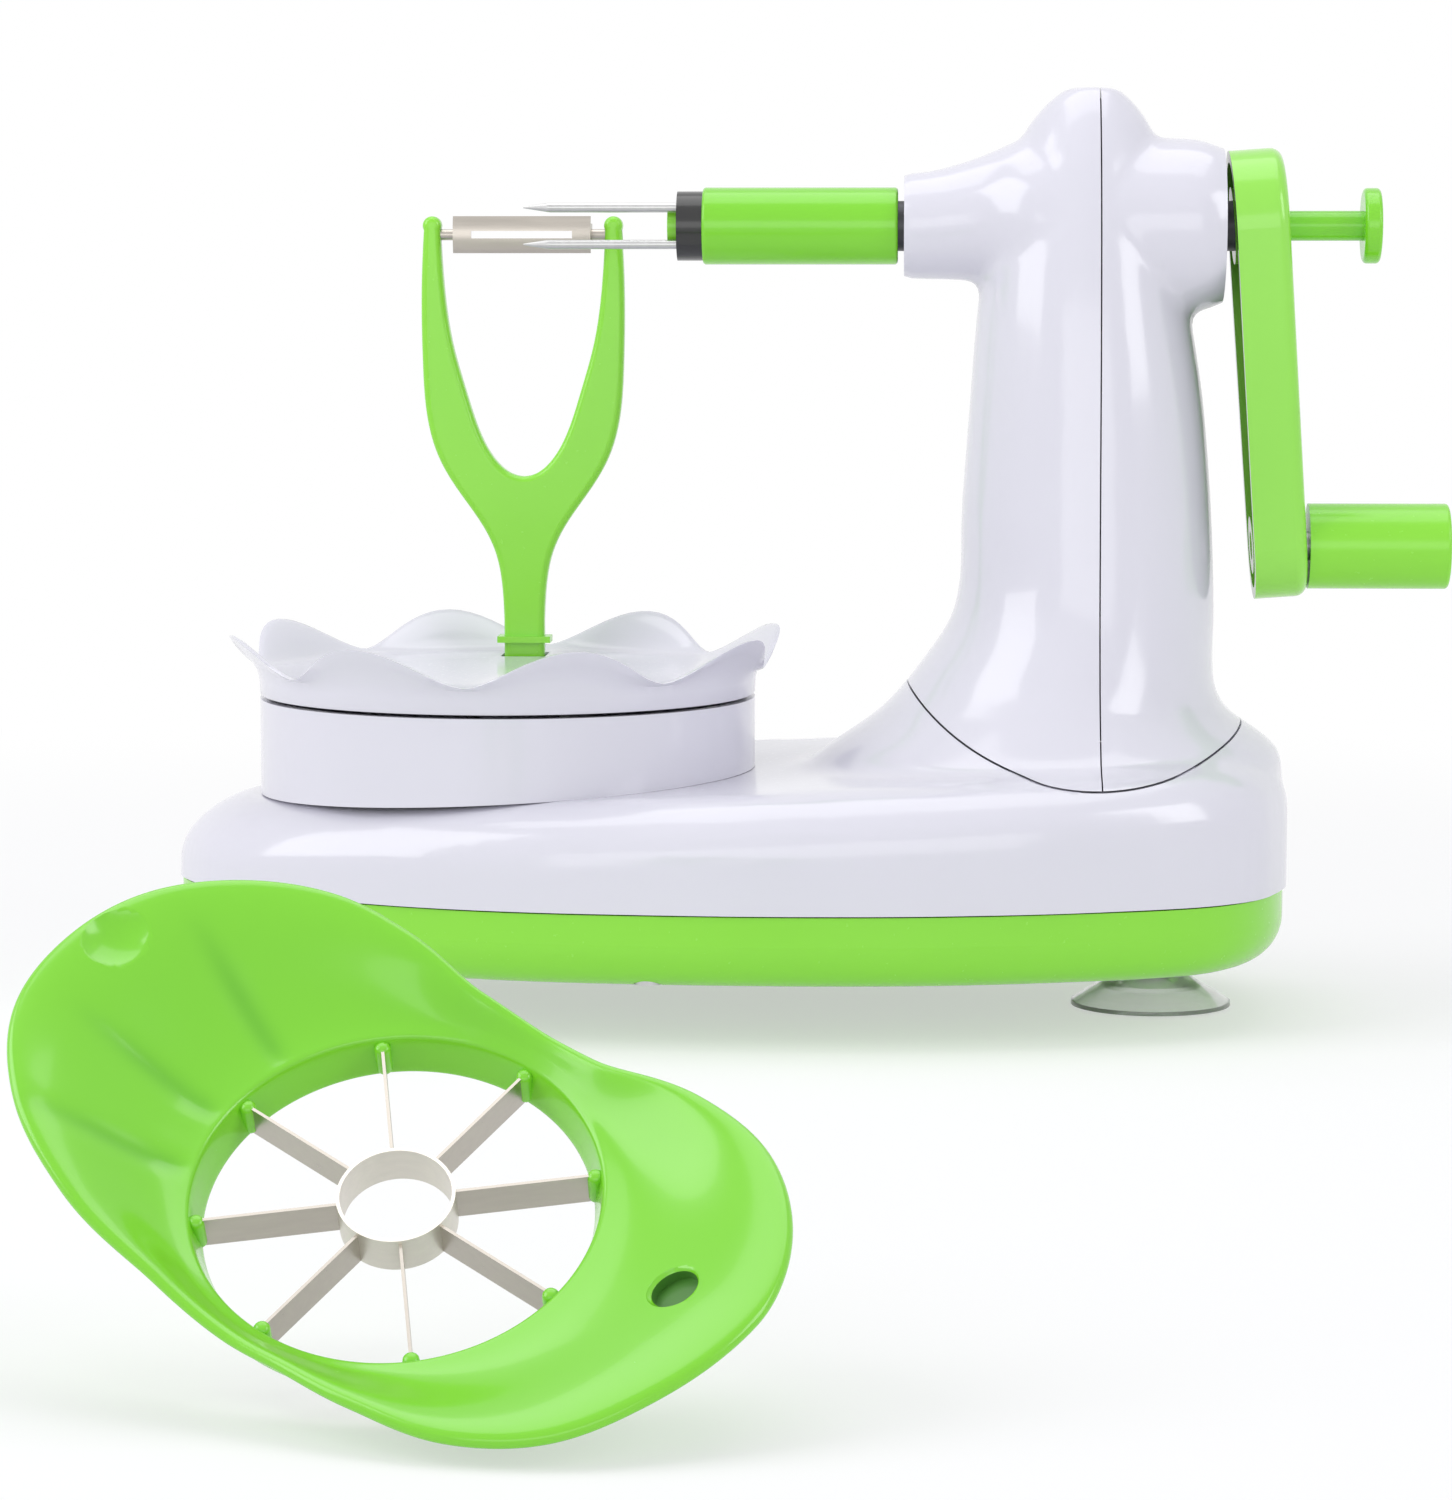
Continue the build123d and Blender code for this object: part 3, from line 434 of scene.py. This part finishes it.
def handle_mesh():
    """Spun and dished sheet of the handle, still flat in the corer's own frame."""
    mesh = bmesh.new()
    verts = [mesh.verts.new((r, 0, z)) for r, z in handle_section]
    edges = [mesh.edges.new(pair) for pair in zip(verts, verts[1:] + verts[:1])]
    bmesh.ops.spin(
        mesh, geom=verts + edges, axis=(0, 0, 1), angle=2 * math.pi, steps=144, use_merge=True
    )
    for vert in mesh.verts:
        angle = math.atan2(vert.co.y, vert.co.x)
        near = vert.co.xy.length
        rim = rim_reach(angle)
        reach = near
        if near > roll_start:
            reach = rim - roll_width + (near - roll_start)
        elif near > stretch_start:
            wanted = rim - roll_width - stretch_start
            drawn = roll_start - stretch_start
            reach = stretch_start + (near - stretch_start) * wanted / drawn
        vert.co.x = reach * math.cos(angle)
        vert.co.y = reach * math.sin(angle)
        if near > opening_radius:
            vert.co.z += dish_rise(angle, reach) - fold_depth(angle, reach)
    bmesh.ops.recalc_face_normals(mesh, faces=mesh.faces)
    return mesh


handle = as_object(handle_mesh(), "corer_handle_sheet")
print("handle points", len(handle.data.vertices))


# %% [markdown]
# Subdivision rounds the spun section. The shallow thumb dimple and the blind hanging hole are
# then cut with a ball and a small drum, because a cutter gives a cleaner circle than moving
# points. The drum flares at its mouth, so the hole gets a soft edge.

# %% Tools to cut the handle with
def cut(piece, mesh, how="DIFFERENCE", tangled=False):
    """Cut a form out of the piece, or keep only what lies inside it."""
    tool = as_object(mesh, "tool")
    knife = piece.modifiers.new("cut", "BOOLEAN")
    knife.operation = how
    knife.solver = "EXACT"
    knife.use_self = tangled
    knife.object = tool
    with_modifiers_applied(piece)
    bpy.data.objects.remove(tool)


def square_to_dish(x, y):
    """Matrix that stands a tool square on the dished face over x, y."""
    angle, reach = math.atan2(y, x), math.hypot(x, y)
    slope = dish_rise(angle, reach + 0.5) - dish_rise(angle, reach - 0.5)
    lean = Vector((-slope * math.cos(angle), -slope * math.sin(angle), 1)).normalized()
    aim = lean.to_track_quat("Z", "Y").to_matrix().to_4x4()
    return Matrix.Translation((x, y, dish_rise(angle, reach))) @ aim


def drum(radius, mouth, depth, x, y):
    """Short drum with a flared mouth, for a hole with a soft edge."""
    mesh = bmesh.new()
    bmesh.ops.create_circle(mesh, cap_ends=True, segments=48, radius=radius)
    floor = mesh.faces[:]
    steps = ((radius, depth - 0.4), (radius + 0.2, 0.25), (mouth, 0.2), (mouth + 0.6, 1.4))
    for number, (radius_now, lift) in enumerate(steps):
        grown = bmesh.ops.extrude_face_region(mesh, geom=floor)
        if number:
            bmesh.ops.delete(mesh, geom=floor, context="FACES_ONLY")
        floor = [item for item in grown["geom"] if isinstance(item, bmesh.types.BMFace)]
        ring = [item for item in grown["geom"] if isinstance(item, bmesh.types.BMVert)]
        wide = radius_now / max(vert.co.xy.length for vert in ring)
        bmesh.ops.scale(mesh, vec=(wide, wide, 1), verts=ring)
        bmesh.ops.translate(mesh, vec=(0, 0, lift), verts=ring)
    place = square_to_dish(x, y)
    bmesh.ops.transform(mesh, matrix=place @ Matrix.Translation((0, 0, -depth)), verts=mesh.verts)
    bmesh.ops.recalc_face_normals(mesh, faces=mesh.faces)
    return mesh


# %% Dimple and hanging hole
dimple_radius, dimple_lift = 10.0, 9.1
hang_x, hang_y = 43.3, 7.6
hang_radius, hang_mouth, hang_depth = 3.4, 3.9, 1.8
smooth = handle.modifiers.new("round", "SUBSURF")
smooth.levels = 2
smooth.render_levels = 2
with_modifiers_applied(handle)
ball = bmesh.new()
bmesh.ops.create_icosphere(ball, subdivisions=5, radius=dimple_radius)
dimple_x, dimple_y = -53.0, 4.6
dimple_z = dish_rise(math.atan2(dimple_y, dimple_x), math.hypot(dimple_x, dimple_y))
bmesh.ops.translate(ball, vec=(dimple_x, dimple_y, dimple_z + dimple_lift), verts=ball.verts)
cut(handle, ball)
cut(handle, drum(hang_radius, hang_mouth, hang_depth, hang_x, hang_y))
print("handle with dimple and hole,", len(handle.data.polygons), "faces")

# %% Blade clips
blade_count = 8
clip_radius, clip_height = 1.2, 5.6
clip_reach, clip_middle_z = 27.75, -3.4
clips = bmesh.new()
bmesh.ops.create_cone(
    clips,
    cap_ends=True,
    segments=16,
    radius1=clip_radius,
    radius2=clip_radius,
    depth=clip_height,
)
rims = [edge for edge in clips.edges if abs(edge.verts[0].co.z - edge.verts[1].co.z) < 0.01]
bmesh.ops.bevel(
    clips, geom=rims, offset=0.85, affect="EDGES", segments=4, profile=0.5, material=-1
)
bmesh.ops.translate(clips, vec=(clip_reach, 0, clip_middle_z), verts=clips.verts)
bmesh.ops.spin(
    clips,
    geom=clips.verts[:] + clips.edges[:] + clips.faces[:],
    axis=(0, 0, 1),
    angle=2 * math.pi * (blade_count - 1) / blade_count,
    steps=blade_count - 1,
    use_duplicate=True,
)
clips.transform(corer_place @ Matrix.Scale(mm, 4))
clip_piece = as_object(clips, "corer_blade_clips")
dressed(clip_piece, deep_lime, "corer", [])

# %% [markdown]
# A fold is darker than the sheet round it, because less light gets into it. The depth of the
# folds is therefore kept on the points, and the finish reads it. The wall and floor of the
# hanging hole lie in shade, so their faces take a finish of their own.

# %% Shade in the folds and the hole, and the handle put in place
crease_share = 0.55
hole_floor_z, hole_edge_z, hole_reach = -2.1, -0.35, 3.8
handle.data.materials.append(deep_lime)
handle.data.materials.append(lime_shade)
# Each point keeps how much painted shade its fold gets.
crease = handle.data.attributes.new("crease", "FLOAT", "POINT")
for vert, value in zip(handle.data.vertices, crease.data):
    angle, reach = math.atan2(vert.co.y, vert.co.x), vert.co.xy.length
    value.value = crease_share * fold_depth(angle, reach)
from_hole = square_to_dish(hang_x, hang_y).inverted()
for face in handle.data.polygons:
    spot = from_hole @ face.center
    if hole_floor_z < spot.z < hole_edge_z and spot.xy.length < hole_reach:
        face.material_index = 1
handle.data.transform(corer_place @ Matrix.Scale(mm, 4))
dressed(handle, deep_lime, "corer", ["corer_handle"])


# %% [markdown]
# The tray turns on the base and catches the peel. Its rim is a ring of eight soft petals. It
# is spun from one section too, and the rim is then lifted and spread in a wave, so its edge
# stays round. A slot is left for the blade arm, which swings through the tray's floor.

# %% Petal tray
tray_section = [(0.0, 70.2), (30.0, 70.2), (47.5, 70.2), (49.6, 70.5), (51.0, 71.6), (51.9, 73.6)]
tray_section += [(52.5, 75.8), (53.0, 78.2), (53.4, 78.9), (54.0, 78.9), (54.3, 78.2)]
tray_section += [(53.9, 75.8), (53.4, 73.4), (52.8, 71.2), (52.35, 69.0), (52.2, 66.1)]
tray_section += [(51.9, 65.75), (50.6, 65.75), (50.3, 66.1), (50.3, 68.0), (30.0, 68.2)]
tray_section += [(8.6, 68.2), (8.5, 67.9), (8.5, 59.2), (8.2, 59.0), (0.0, 59.0)]
petal_turn = math.radians(90 - 4.0)
petal_foot_z, petal_top_z = 70.6, 78.9
petal_foot_radius, petal_spread = 49, 0.095
table_x = -48.0


def petal_wave(angle):
    """0 in a dip and 1 on the crest of a petal."""
    lap = math.remainder(angle - petal_turn, math.pi / 4)
    return ((1 - math.cos(8 * lap)) / 2) ** 0.8


tray = bmesh.new()
verts = [tray.verts.new((r, 0, z)) for r, z in tray_section]
edges = [tray.edges.new(pair) for pair in zip(verts, verts[1:])]
bmesh.ops.spin(
    tray, geom=verts + edges, axis=(0, 0, 1), angle=2 * math.pi, steps=160, use_merge=True
)
bmesh.ops.remove_doubles(tray, verts=tray.verts, dist=0.001)
for vert in tray.verts:
    lift = (vert.co.z - petal_foot_z) / (petal_top_z - petal_foot_z)
    if lift > 0 and vert.co.xy.length > petal_foot_radius:
        wave = petal_wave(math.atan2(vert.co.y, vert.co.x))
        vert.co.z = petal_foot_z + (vert.co.z - petal_foot_z) * (0.08 + 0.92 * wave)
        spread = 1 + petal_spread * lift * lift * wave
        vert.co.x *= spread
        vert.co.y *= spread
bmesh.ops.recalc_face_normals(tray, faces=tray.faces)
tray_piece = as_object(tray, "petal_tray")


def block_tool(low, high):
    """Block between two corners, used only to cut."""
    mesh = bmesh.new()
    bmesh.ops.create_cube(mesh, size=1.0)
    bmesh.ops.scale(mesh, vec=Vector(high) - Vector(low), verts=mesh.verts)
    bmesh.ops.translate(mesh, vec=(Vector(low) + Vector(high)) / 2, verts=mesh.verts)
    return mesh


cut(tray_piece, block_tool((-4.9, 34.6, 60), (4.9, 46.4, 75)))
tray_piece.data.transform(Matrix.Scale(mm, 4) @ Matrix.Translation((table_x, 0, 0)))
dressed(tray_piece, white_gloss, "turntable", ["flower_tray"])

# %% [markdown]
# The white cover, the column, its neck and its crank boss are moulded as one flowing skin, cut
# afterwards along a round seam and down the middle. Filleting where four solids meet is
# awkward, so the way of a model maker in clay is used: rough forms are pushed into each
# other, a voxel remesh wraps one skin round them, and the skin is rubbed smooth only where
# two forms meet. The wall gets its thickness last, and then the seams are cut.

# %% Rough form of the cover
base_middle_x, base_half_length, base_half_depth = -1.1, 116.6, 64.8
shoulder = 12
lean_start_x, lean_foot_z, lean = -60, 28, 4.5
half_outline = [(-0.975, 0.22), (-0.87, 0.49), (-0.68, 0.71), (-0.42, 0.90), (-0.11, 0.985)]
half_outline += [(0.18, 1.0), (0.44, 0.955), (0.68, 0.845), (0.88, 0.67), (0.98, 0.36)]
round_outline = [(-1.0, 0.0)] + [(x, -y) for x, y in half_outline] + [(1.0, 0.0)]
round_outline += [(x, y) for x, y in reversed(half_outline)]


def smooth_loop(points, steps):
    """Closed smooth curve through the points, with that many steps in each span."""
    curve = bpy.data.curves.new("loop", "CURVE")
    spline = curve.splines.new("BEZIER")
    spline.bezier_points.add(len(points) - 1)
    for knot, (x, y) in zip(spline.bezier_points, points):
        knot.co = (x, y, 0)
        knot.handle_left_type = "AUTO"
        knot.handle_right_type = "AUTO"
    spline.use_cyclic_u = True
    spline.resolution_u = steps
    holder = bpy.data.objects.new("loop", curve)
    loop = bpy.data.meshes.new_from_object(holder)
    bpy.data.objects.remove(holder)
    return [vert.co.xy for vert in loop.vertices]


def slope_at(x):
    """Height of the sloping cover top over the table at x."""
    return 47.6 + 0.05 * (x + 48.0)


def cover_form(mesh):
    """Egg-shaped block with a sloping top, a round shoulder and a left end that leans in."""
    loop = smooth_loop(round_outline, 6)
    verts = [
        mesh.verts.new((base_middle_x + x * base_half_length, y * base_half_depth, 20.0))
        for x, y in loop
    ]
    cap = [mesh.faces.new(verts)]
    bmesh.ops.reverse_faces(mesh, faces=cap)
    foot = bmesh.ops.extrude_face_region(mesh, geom=cap)["geom"]
    cap = [item for item in foot if isinstance(item, bmesh.types.BMFace)]
    inset_now = 0.0
    for turn in [0, 12, 24, 36, 48, 60, 72, 82, 90]:
        angle = math.radians(turn)
        inset = shoulder * (1 - math.cos(angle))
        lift = shoulder * math.sin(angle) - shoulder
        wide = (base_half_length - inset) / (base_half_length - inset_now)
        deep = (base_half_depth - inset) / (base_half_depth - inset_now)
        if turn:
            foot = bmesh.ops.extrude_face_region(mesh, geom=cap)["geom"]
            bmesh.ops.delete(mesh, geom=cap, context="FACES_ONLY")
            cap = [item for item in foot if isinstance(item, bmesh.types.BMFace)]
        for vert in {vert for face in cap for vert in face.verts}:
            vert.co.x = base_middle_x + (vert.co.x - base_middle_x) * wide
            vert.co.y *= deep
            vert.co.z = slope_at(vert.co.x) + lift
        inset_now = inset
    for vert in mesh.verts:
        end = smoothstep((lean_start_x - vert.co.x) / 50)
        high = max(vert.co.z - lean_foot_z, 0) / (slope_at(vert.co.x) - lean_foot_z)
        vert.co.x += lean * end * high * high


print("cover outline through", len(round_outline), "points")


# %% Rows of the column, rings of the neck and boss
# A row is height, left end, right end and half depth. A ring is place, radius and lift.
spindle_z = 163.5
column_rows = [(42, 13.0, 115.0, 44.5), (49, 13.5, 115.0, 44.5), (54, 18.5, 114.4, 43.0)]
column_rows += [(58, 24.4, 110.4, 40.5), (61, 28.8, 105.8, 38.3), (64, 32.2, 102.4, 36.4)]
column_rows += [(70, 37.4, 100.4, 33.4), (84, 46.2, 100.4, 29.2)]
column_rows += [(106, 47.6, 99.5, 26.8), (128, 49.2, 97.6, 25.2), (148, 50.8, 94.4, 23.0)]
column_rows += [(164, 53.4, 91.8, 20.0), (176, 56.8, 89.0, 16.2), (181, 59.2, 87.4, 13.8)]
column_rows += [(185, 61.6, 85.6, 11.6), (188.5, 64.6, 83.0, 9.2), (191, 67.6, 80.4, 6.8)]
column_rows += [(191.95, 69.4, 78.8, 5.4)]
neck_rings = [(30.0, 10.2, 0), (35.3, 10.2, 0), (35.8, 10.7, 0), (36.4, 10.9, 0)]
neck_rings += [(40.0, 11.1, 0.1), (44.0, 11.6, 0.5), (48.0, 12.3, 1.0), (52.0, 13.2, 1.5)]
neck_rings += [(55.0, 14.4, 1.6), (58.0, 16.2, 1.2), (61.0, 17.6, 0.6), (66.0, 18.6, 0)]
boss_rings = [(80.0, 18.4, 0), (94.4, 18.0, 0), (97.0, 17.6, 0), (99.4, 16.8, 0)]
boss_rings += [(100.8, 16.2, 0), (101.4, 15.6, 0), (108.0, 15.6, 0)]
print(len(column_rows), "rows,", len(neck_rings) + len(boss_rings), "rings")

# %% Stacking the rows and rings into rough forms


def between(rows, n, share):
    """Smooth row between rows n and n + 1."""
    a = rows[max(n - 1, 0)]
    b, c = rows[n], rows[n + 1]
    d = rows[min(n + 2, len(rows) - 1)]
    h0, h1, h2, h3 = a[0], b[0], c[0], d[0]
    made = []
    for p0, p1, p2, p3 in zip(a, b, c, d):
        m1 = (p2 - p0) / (h2 - h0) * (h2 - h1)
        m2 = (p3 - p1) / (h3 - h1) * (h2 - h1)
        s2, s3 = share * share, share**3
        low = (2 * s3 - 3 * s2 + 1) * p1 + (s3 - 2 * s2 + share) * m1
        made.append(low + (3 * s2 - 2 * s3) * p2 + (s3 - s2) * m2)
    return made


def tower(mesh, rows, place):
    """Stack of rings, each set by place(unit point, row)."""
    made = bmesh.ops.create_circle(mesh, cap_ends=True, segments=72, radius=1.0)["verts"]
    units = {vert: vert.co.copy() for vert in made}
    cap = [made[0].link_faces[0]]
    for vert in made:
        vert.co = place(units[vert], rows[0])
    for row in rows[1:]:
        ring = [vert for face in cap for vert in face.verts]
        grown = bmesh.ops.extrude_face_region(mesh, geom=cap)
        tops = [item for item in grown["geom"] if isinstance(item, bmesh.types.BMFace)]
        if row is not rows[1]:
            bmesh.ops.delete(mesh, geom=cap, context="FACES_ONLY")
        near = {tuple(round(c, 4) for c in vert.co): units[vert] for vert in ring}
        for vert in tops[0].verts:
            units[vert] = near[tuple(round(c, 4) for c in vert.co)]
        for vert in tops[0].verts:
            vert.co = place(units[vert], row)
        cap = tops


def column_ring(unit, row):
    """Point of an ellipse across the column."""
    height, left, right, half_depth = row
    x = (left + right) / 2 + unit.x * (right - left) / 2
    return Vector((x, unit.y * half_depth, height))


def shaft_ring(unit, row):
    """Point of a circle round the crank's spindle."""
    x, radius, lift = row
    return Vector((x, unit.x * radius, spindle_z + lift + unit.y * radius))


fine_rows = []
for n in range(len(column_rows) - 1):
    fine_rows += [between(column_rows, n, k / 4) for k in range(4)]
fine_rows.append(list(column_rows[-1]))
forms = bmesh.new()
cover_form(forms)
tower(forms, fine_rows, column_ring)
tower(forms, neck_rings, shaft_ring)
tower(forms, boss_rings, shaft_ring)
bmesh.ops.recalc_face_normals(forms, faces=forms.faces)
print("rough forms", len(forms.faces), "faces")

# %% One skin round them, rubbed smooth where two forms meet
body_skin = as_object(forms, "body_skin")
wrap = body_skin.modifiers.new("wrap", "REMESH")
wrap.mode = "VOXEL"
wrap.voxel_size = 1.25
with_modifiers_applied(body_skin)


def rub(mesh, where, times):
    """Smooth the points where the test holds."""
    chosen = [vert for vert in mesh.verts if where(vert.co)]
    for _ in range(times):
        bmesh.ops.smooth_vert(
            mesh, verts=chosen, factor=0.5, use_axis_x=True, use_axis_y=True, use_axis_z=True
        )


def off_axis(point):
    """Distance from the crank's spindle line."""
    return math.hypot(point.y, point.z - spindle_z)


skin = bmesh.new()
skin.from_mesh(body_skin.data)
# In turn: the column, its dome, its foot, the right shoulder, and the roots of neck and boss.
rub(skin, lambda p: 30 < p.z < 178 and 40 < p.x < 99, 3)
rub(skin, lambda p: p.z > 177, 2)
rub(skin, lambda p: slope_at(p.x) - 1 < p.z < 64 and 8 < p.x < 102, 25)
rub(skin, lambda p: 45 < p.z < 66 and p.x > 98, 6)
rub(skin, lambda p: 50 < p.x < 63 and 10 < off_axis(p) < 24 and 138 < p.z < 183, 2)
rub(skin, lambda p: 84 < p.x < 98 and 10 < off_axis(p) < 24 and 138 < p.z < 184, 1)
print("skin", len(skin.verts), "points")
skin.to_mesh(body_skin.data)
skin.free()

# %% [markdown]
# The skin is now a closed lump. Solidify grows a 2.2 mm wall inwards, and then it is cut like
# the real moulding: everything inside the round seam belongs to the column, the rest is the
# cover, and the column is split down the middle. The cutters are a drum across the machine
# and plain blocks, one a little larger than the other so that a hairline gap stays between.

# %% Wall thickness and seams
wall = body_skin.modifiers.new("wall", "SOLIDIFY")
wall.thickness = 2.2
wall.offset = -1.0
with_modifiers_applied(body_skin)
column_x, seam_z, seam_radius = 75.6, 103.0, 52.0
seam_gap, half_split = 0.4, 0.15
pan_seam_z, neck_end_x, boss_end_x = 27.3, 35.3, 101.4
table_bore, spindle_bore, screw_bore = 5.2, 7.0, 3.0
column_screws = ((14, 100), (13, 130))
print("walled skin", len(body_skin.data.polygons), "faces")

# %% Cutters for the seams


def seam_tool(radius):
    """Drum across the machine with a tall block on it: the space of the column."""
    mesh = bmesh.new()
    bmesh.ops.create_circle(mesh, cap_ends=True, segments=160, radius=radius)
    bmesh.ops.rotate(mesh, verts=mesh.verts, matrix=Matrix.Rotation(math.pi / 2, 3, "X"))
    for vert in mesh.verts:
        if vert.co.z > 0:
            vert.co.z = 150.0
            vert.co.x = math.copysign(radius, vert.co.x) if abs(vert.co.x) > 1e-3 else 0.0
    bmesh.ops.remove_doubles(mesh, verts=mesh.verts, dist=0.001)
    bmesh.ops.translate(mesh, vec=(column_x, -100, seam_z), verts=mesh.verts)
    grown = bmesh.ops.extrude_face_region(mesh, geom=mesh.faces[:])["geom"]
    far = [item for item in grown if isinstance(item, bmesh.types.BMVert)]
    bmesh.ops.translate(mesh, vec=(0, 200, 0), verts=far)
    bmesh.ops.recalc_face_normals(mesh, faces=mesh.faces)
    return mesh


def bar_tool(start, end, radius):
    """Round bar between two points, used only to bore."""
    mesh = bmesh.new()
    along = Vector(end) - Vector(start)
    bmesh.ops.create_cone(
        mesh, cap_ends=True, segments=48, radius1=radius, radius2=radius, depth=along.length
    )
    turn = along.to_track_quat("Z", "Y").to_matrix().to_4x4()
    middle = (Vector(start) + Vector(end)) / 2
    bmesh.ops.transform(mesh, matrix=Matrix.Translation(middle) @ turn, verts=mesh.verts)
    return mesh


def copy_of(piece, name):
    """A second piece with its own copy of the mesh."""
    twin = piece.copy()
    twin.data = piece.data.copy()
    twin.name = name
    bpy.context.collection.objects.link(twin)
    return twin


# %% Cover and column cut from the skin
upper = copy_of(body_skin, "column_left_skin")
cut(body_skin, seam_tool(seam_radius + seam_gap))
cut(body_skin, block_tool((-200, -100, 0), (200, 100, pan_seam_z)))
cut(body_skin, bar_tool((table_x, 0, 30), (table_x, 0, 70), table_bore))
cut(upper, seam_tool(seam_radius), "INTERSECT")
cut(upper, bar_tool((0, 0, spindle_z), (140, 0, spindle_z), spindle_bore), tangled=True)
cut(upper, block_tool((-100, -90, 0), (neck_end_x, 90, 200)))
cut(upper, block_tool((boss_end_x, -90, 130), (200, 90, 200)))
right = copy_of(upper, "column_right_skin")
cut(upper, block_tool((column_x - half_split, -90, 0), (200, 90, 220)))
cut(right, block_tool((-90, -90, 0), (column_x + half_split, 90, 220)))
for y, z in column_screws:
    cut(right, bar_tool((89.0, y, z), (120.0, y, z), screw_bore))
body_skin.name = "base_cover_skin"
for piece, node in (
    (body_skin, "base_cover"),
    (upper, "column_left_shell"),
    (right, "column_right_shell"),
):
    piece.data.transform(Matrix.Scale(mm, 4))
    dressed(piece, white_gloss, "base", [node])

# %% [markdown]
# The stage is a plain white sweep. Its material shows as white to the camera and to
# reflections, but it still takes the soft shadow of the object, because the diffuse part
# stays in the mix. Near the object the plain white has only about half the share, and it
# grows to all of it further out. The world uses the same test of rays.

# %% Floor


def plain_view(tree):
    """Socket that is 1 for camera, glossy and transmission rays, and 0 for all others."""
    path = add(tree, "ShaderNodeLightPath")
    seen = path.outputs["Is Camera Ray"]
    for ray in ("Is Glossy Ray", "Is Transmission Ray"):
        either = add(tree, "ShaderNodeMath", operation="MAXIMUM")
        join(tree, seen, either.inputs[0])
        join(tree, path.outputs[ray], either.inputs[1])
        seen = either.outputs[0]
    return seen


def floor_material():
    """Floor that looks white to the camera and still takes a shadow."""
    material, shader = new_material("studio floor")
    tree = material.node_tree
    shader.inputs["Base Color"].default_value = (0.9, 0.9, 0.9, 1)
    shader.inputs["Roughness"].default_value = 0.9
    glow = add(tree, "ShaderNodeEmission")
    glow.inputs["Color"].default_value = (1, 1, 1, 1)
    glow.inputs["Strength"].default_value = 1.0
    place = add(tree, "ShaderNodeTexCoord")
    away = add(tree, "ShaderNodeVectorMath", operation="LENGTH")
    join(tree, place.outputs["Object"], away.inputs[0])
    near = add(tree, "ShaderNodeMapRange", interpolation_type="SMOOTHSTEP")
    near.inputs["From Min"].default_value = 0.33
    near.inputs["From Max"].default_value = 0.75
    near.inputs["To Min"].default_value = 0.52
    near.inputs["To Max"].default_value = 1.0
    join(tree, away.outputs["Value"], near.inputs["Value"])
    share = add(tree, "ShaderNodeMath", operation="MULTIPLY")
    join(tree, plain_view(tree), share.inputs[0])
    join(tree, near.outputs["Result"], share.inputs[1])
    blend = add(tree, "ShaderNodeMixShader")
    join(tree, share.outputs[0], blend.inputs["Fac"])
    join(tree, shader.outputs[0], blend.inputs[1])
    join(tree, glow.outputs[0], blend.inputs[2])
    join(tree, blend.outputs[0], tree.nodes["Material Output"].inputs["Surface"])
    return material


bpy.ops.mesh.primitive_plane_add(size=12, location=(0, -0.15, -0.0005))
floor = bpy.context.object
floor.name = "studio_floor"
floor.data.materials.append(floor_material())
print("floor set")

# %% World
world = bpy.data.worlds.new("studio")
bpy.context.scene.world = world
world.use_nodes = True
tree = world.node_tree
tree.nodes.clear()
soft = add(tree, "ShaderNodeBackground")
soft.inputs["Color"].default_value = (0.93, 0.94, 1.0, 1)
soft.inputs["Strength"].default_value = 0.5
white = add(tree, "ShaderNodeBackground")
white.inputs["Color"].default_value = (1, 1, 1, 1)
white.inputs["Strength"].default_value = 1.0
mix = add(tree, "ShaderNodeMixShader")
out = add(tree, "ShaderNodeOutputWorld")
join(tree, plain_view(tree), mix.inputs["Fac"])
join(tree, soft.outputs[0], mix.inputs[1])
join(tree, white.outputs[0], mix.inputs[2])
join(tree, mix.outputs[0], out.inputs["Surface"])
print("world set")

# %% [markdown]
# Four soft boxes light the object. The left one is the strongest and draws the long shine
# down the column, the right one lifts the crank side, the top one lights the tray, and a
# wide low one in front keeps the faces towards the camera even. Powers are in watts.


# %% Lamps
def lamp(name, spot, aim, size, power):
    """A square soft box at spot that shines on aim."""
    light = bpy.data.lights.new(name, "AREA")
    light.shape = "RECTANGLE"
    light.size, light.size_y = size
    light.energy = power
    holder = bpy.data.objects.new(name, light)
    holder.location = spot
    holder.rotation_euler = (Vector(aim) - Vector(spot)).to_track_quat("-Z", "Y").to_euler()
    bpy.context.collection.objects.link(holder)


lamp("left_box", (-1.1, -0.5, 0.85), (0, 0, 0.06), (0.9, 1.1), 8.6)
lamp("right_box", (1.1, -0.7, 0.7), (0, 0, 0.08), (0.5, 0.8), 4.5)
lamp("top_box", (0.0, 0.1, 1.3), (0, 0, 0.0), (1.2, 1.0), 6.0)
lamp("front_box", (0.05, -1.7, 0.3), (0, 0, 0.08), (1.6, 0.6), 4.0)
print("four lamps set")

# %% [markdown]
# The camera stands in front, a little above the machine's middle, and looks slightly down
# through a long lens, so upright edges stay nearly parallel.

# %% Camera
eye = Vector((0.041, -0.950, 0.155))
aim = Vector((-0.0019, 0.0, 0.0535))
camera_data = bpy.data.cameras.new("camera")
camera_data.lens = 108.6
camera_data.sensor_width = 36.0
camera = bpy.data.objects.new("camera", camera_data)
camera.location = eye
camera.rotation_euler = (aim - eye).to_track_quat("-Z", "Y").to_euler()
bpy.context.collection.objects.link(camera)
bpy.context.scene.camera = camera
bpy.context.scene.view_settings.view_transform = "Standard"
print("camera at", tuple(round(value, 3) for value in eye))
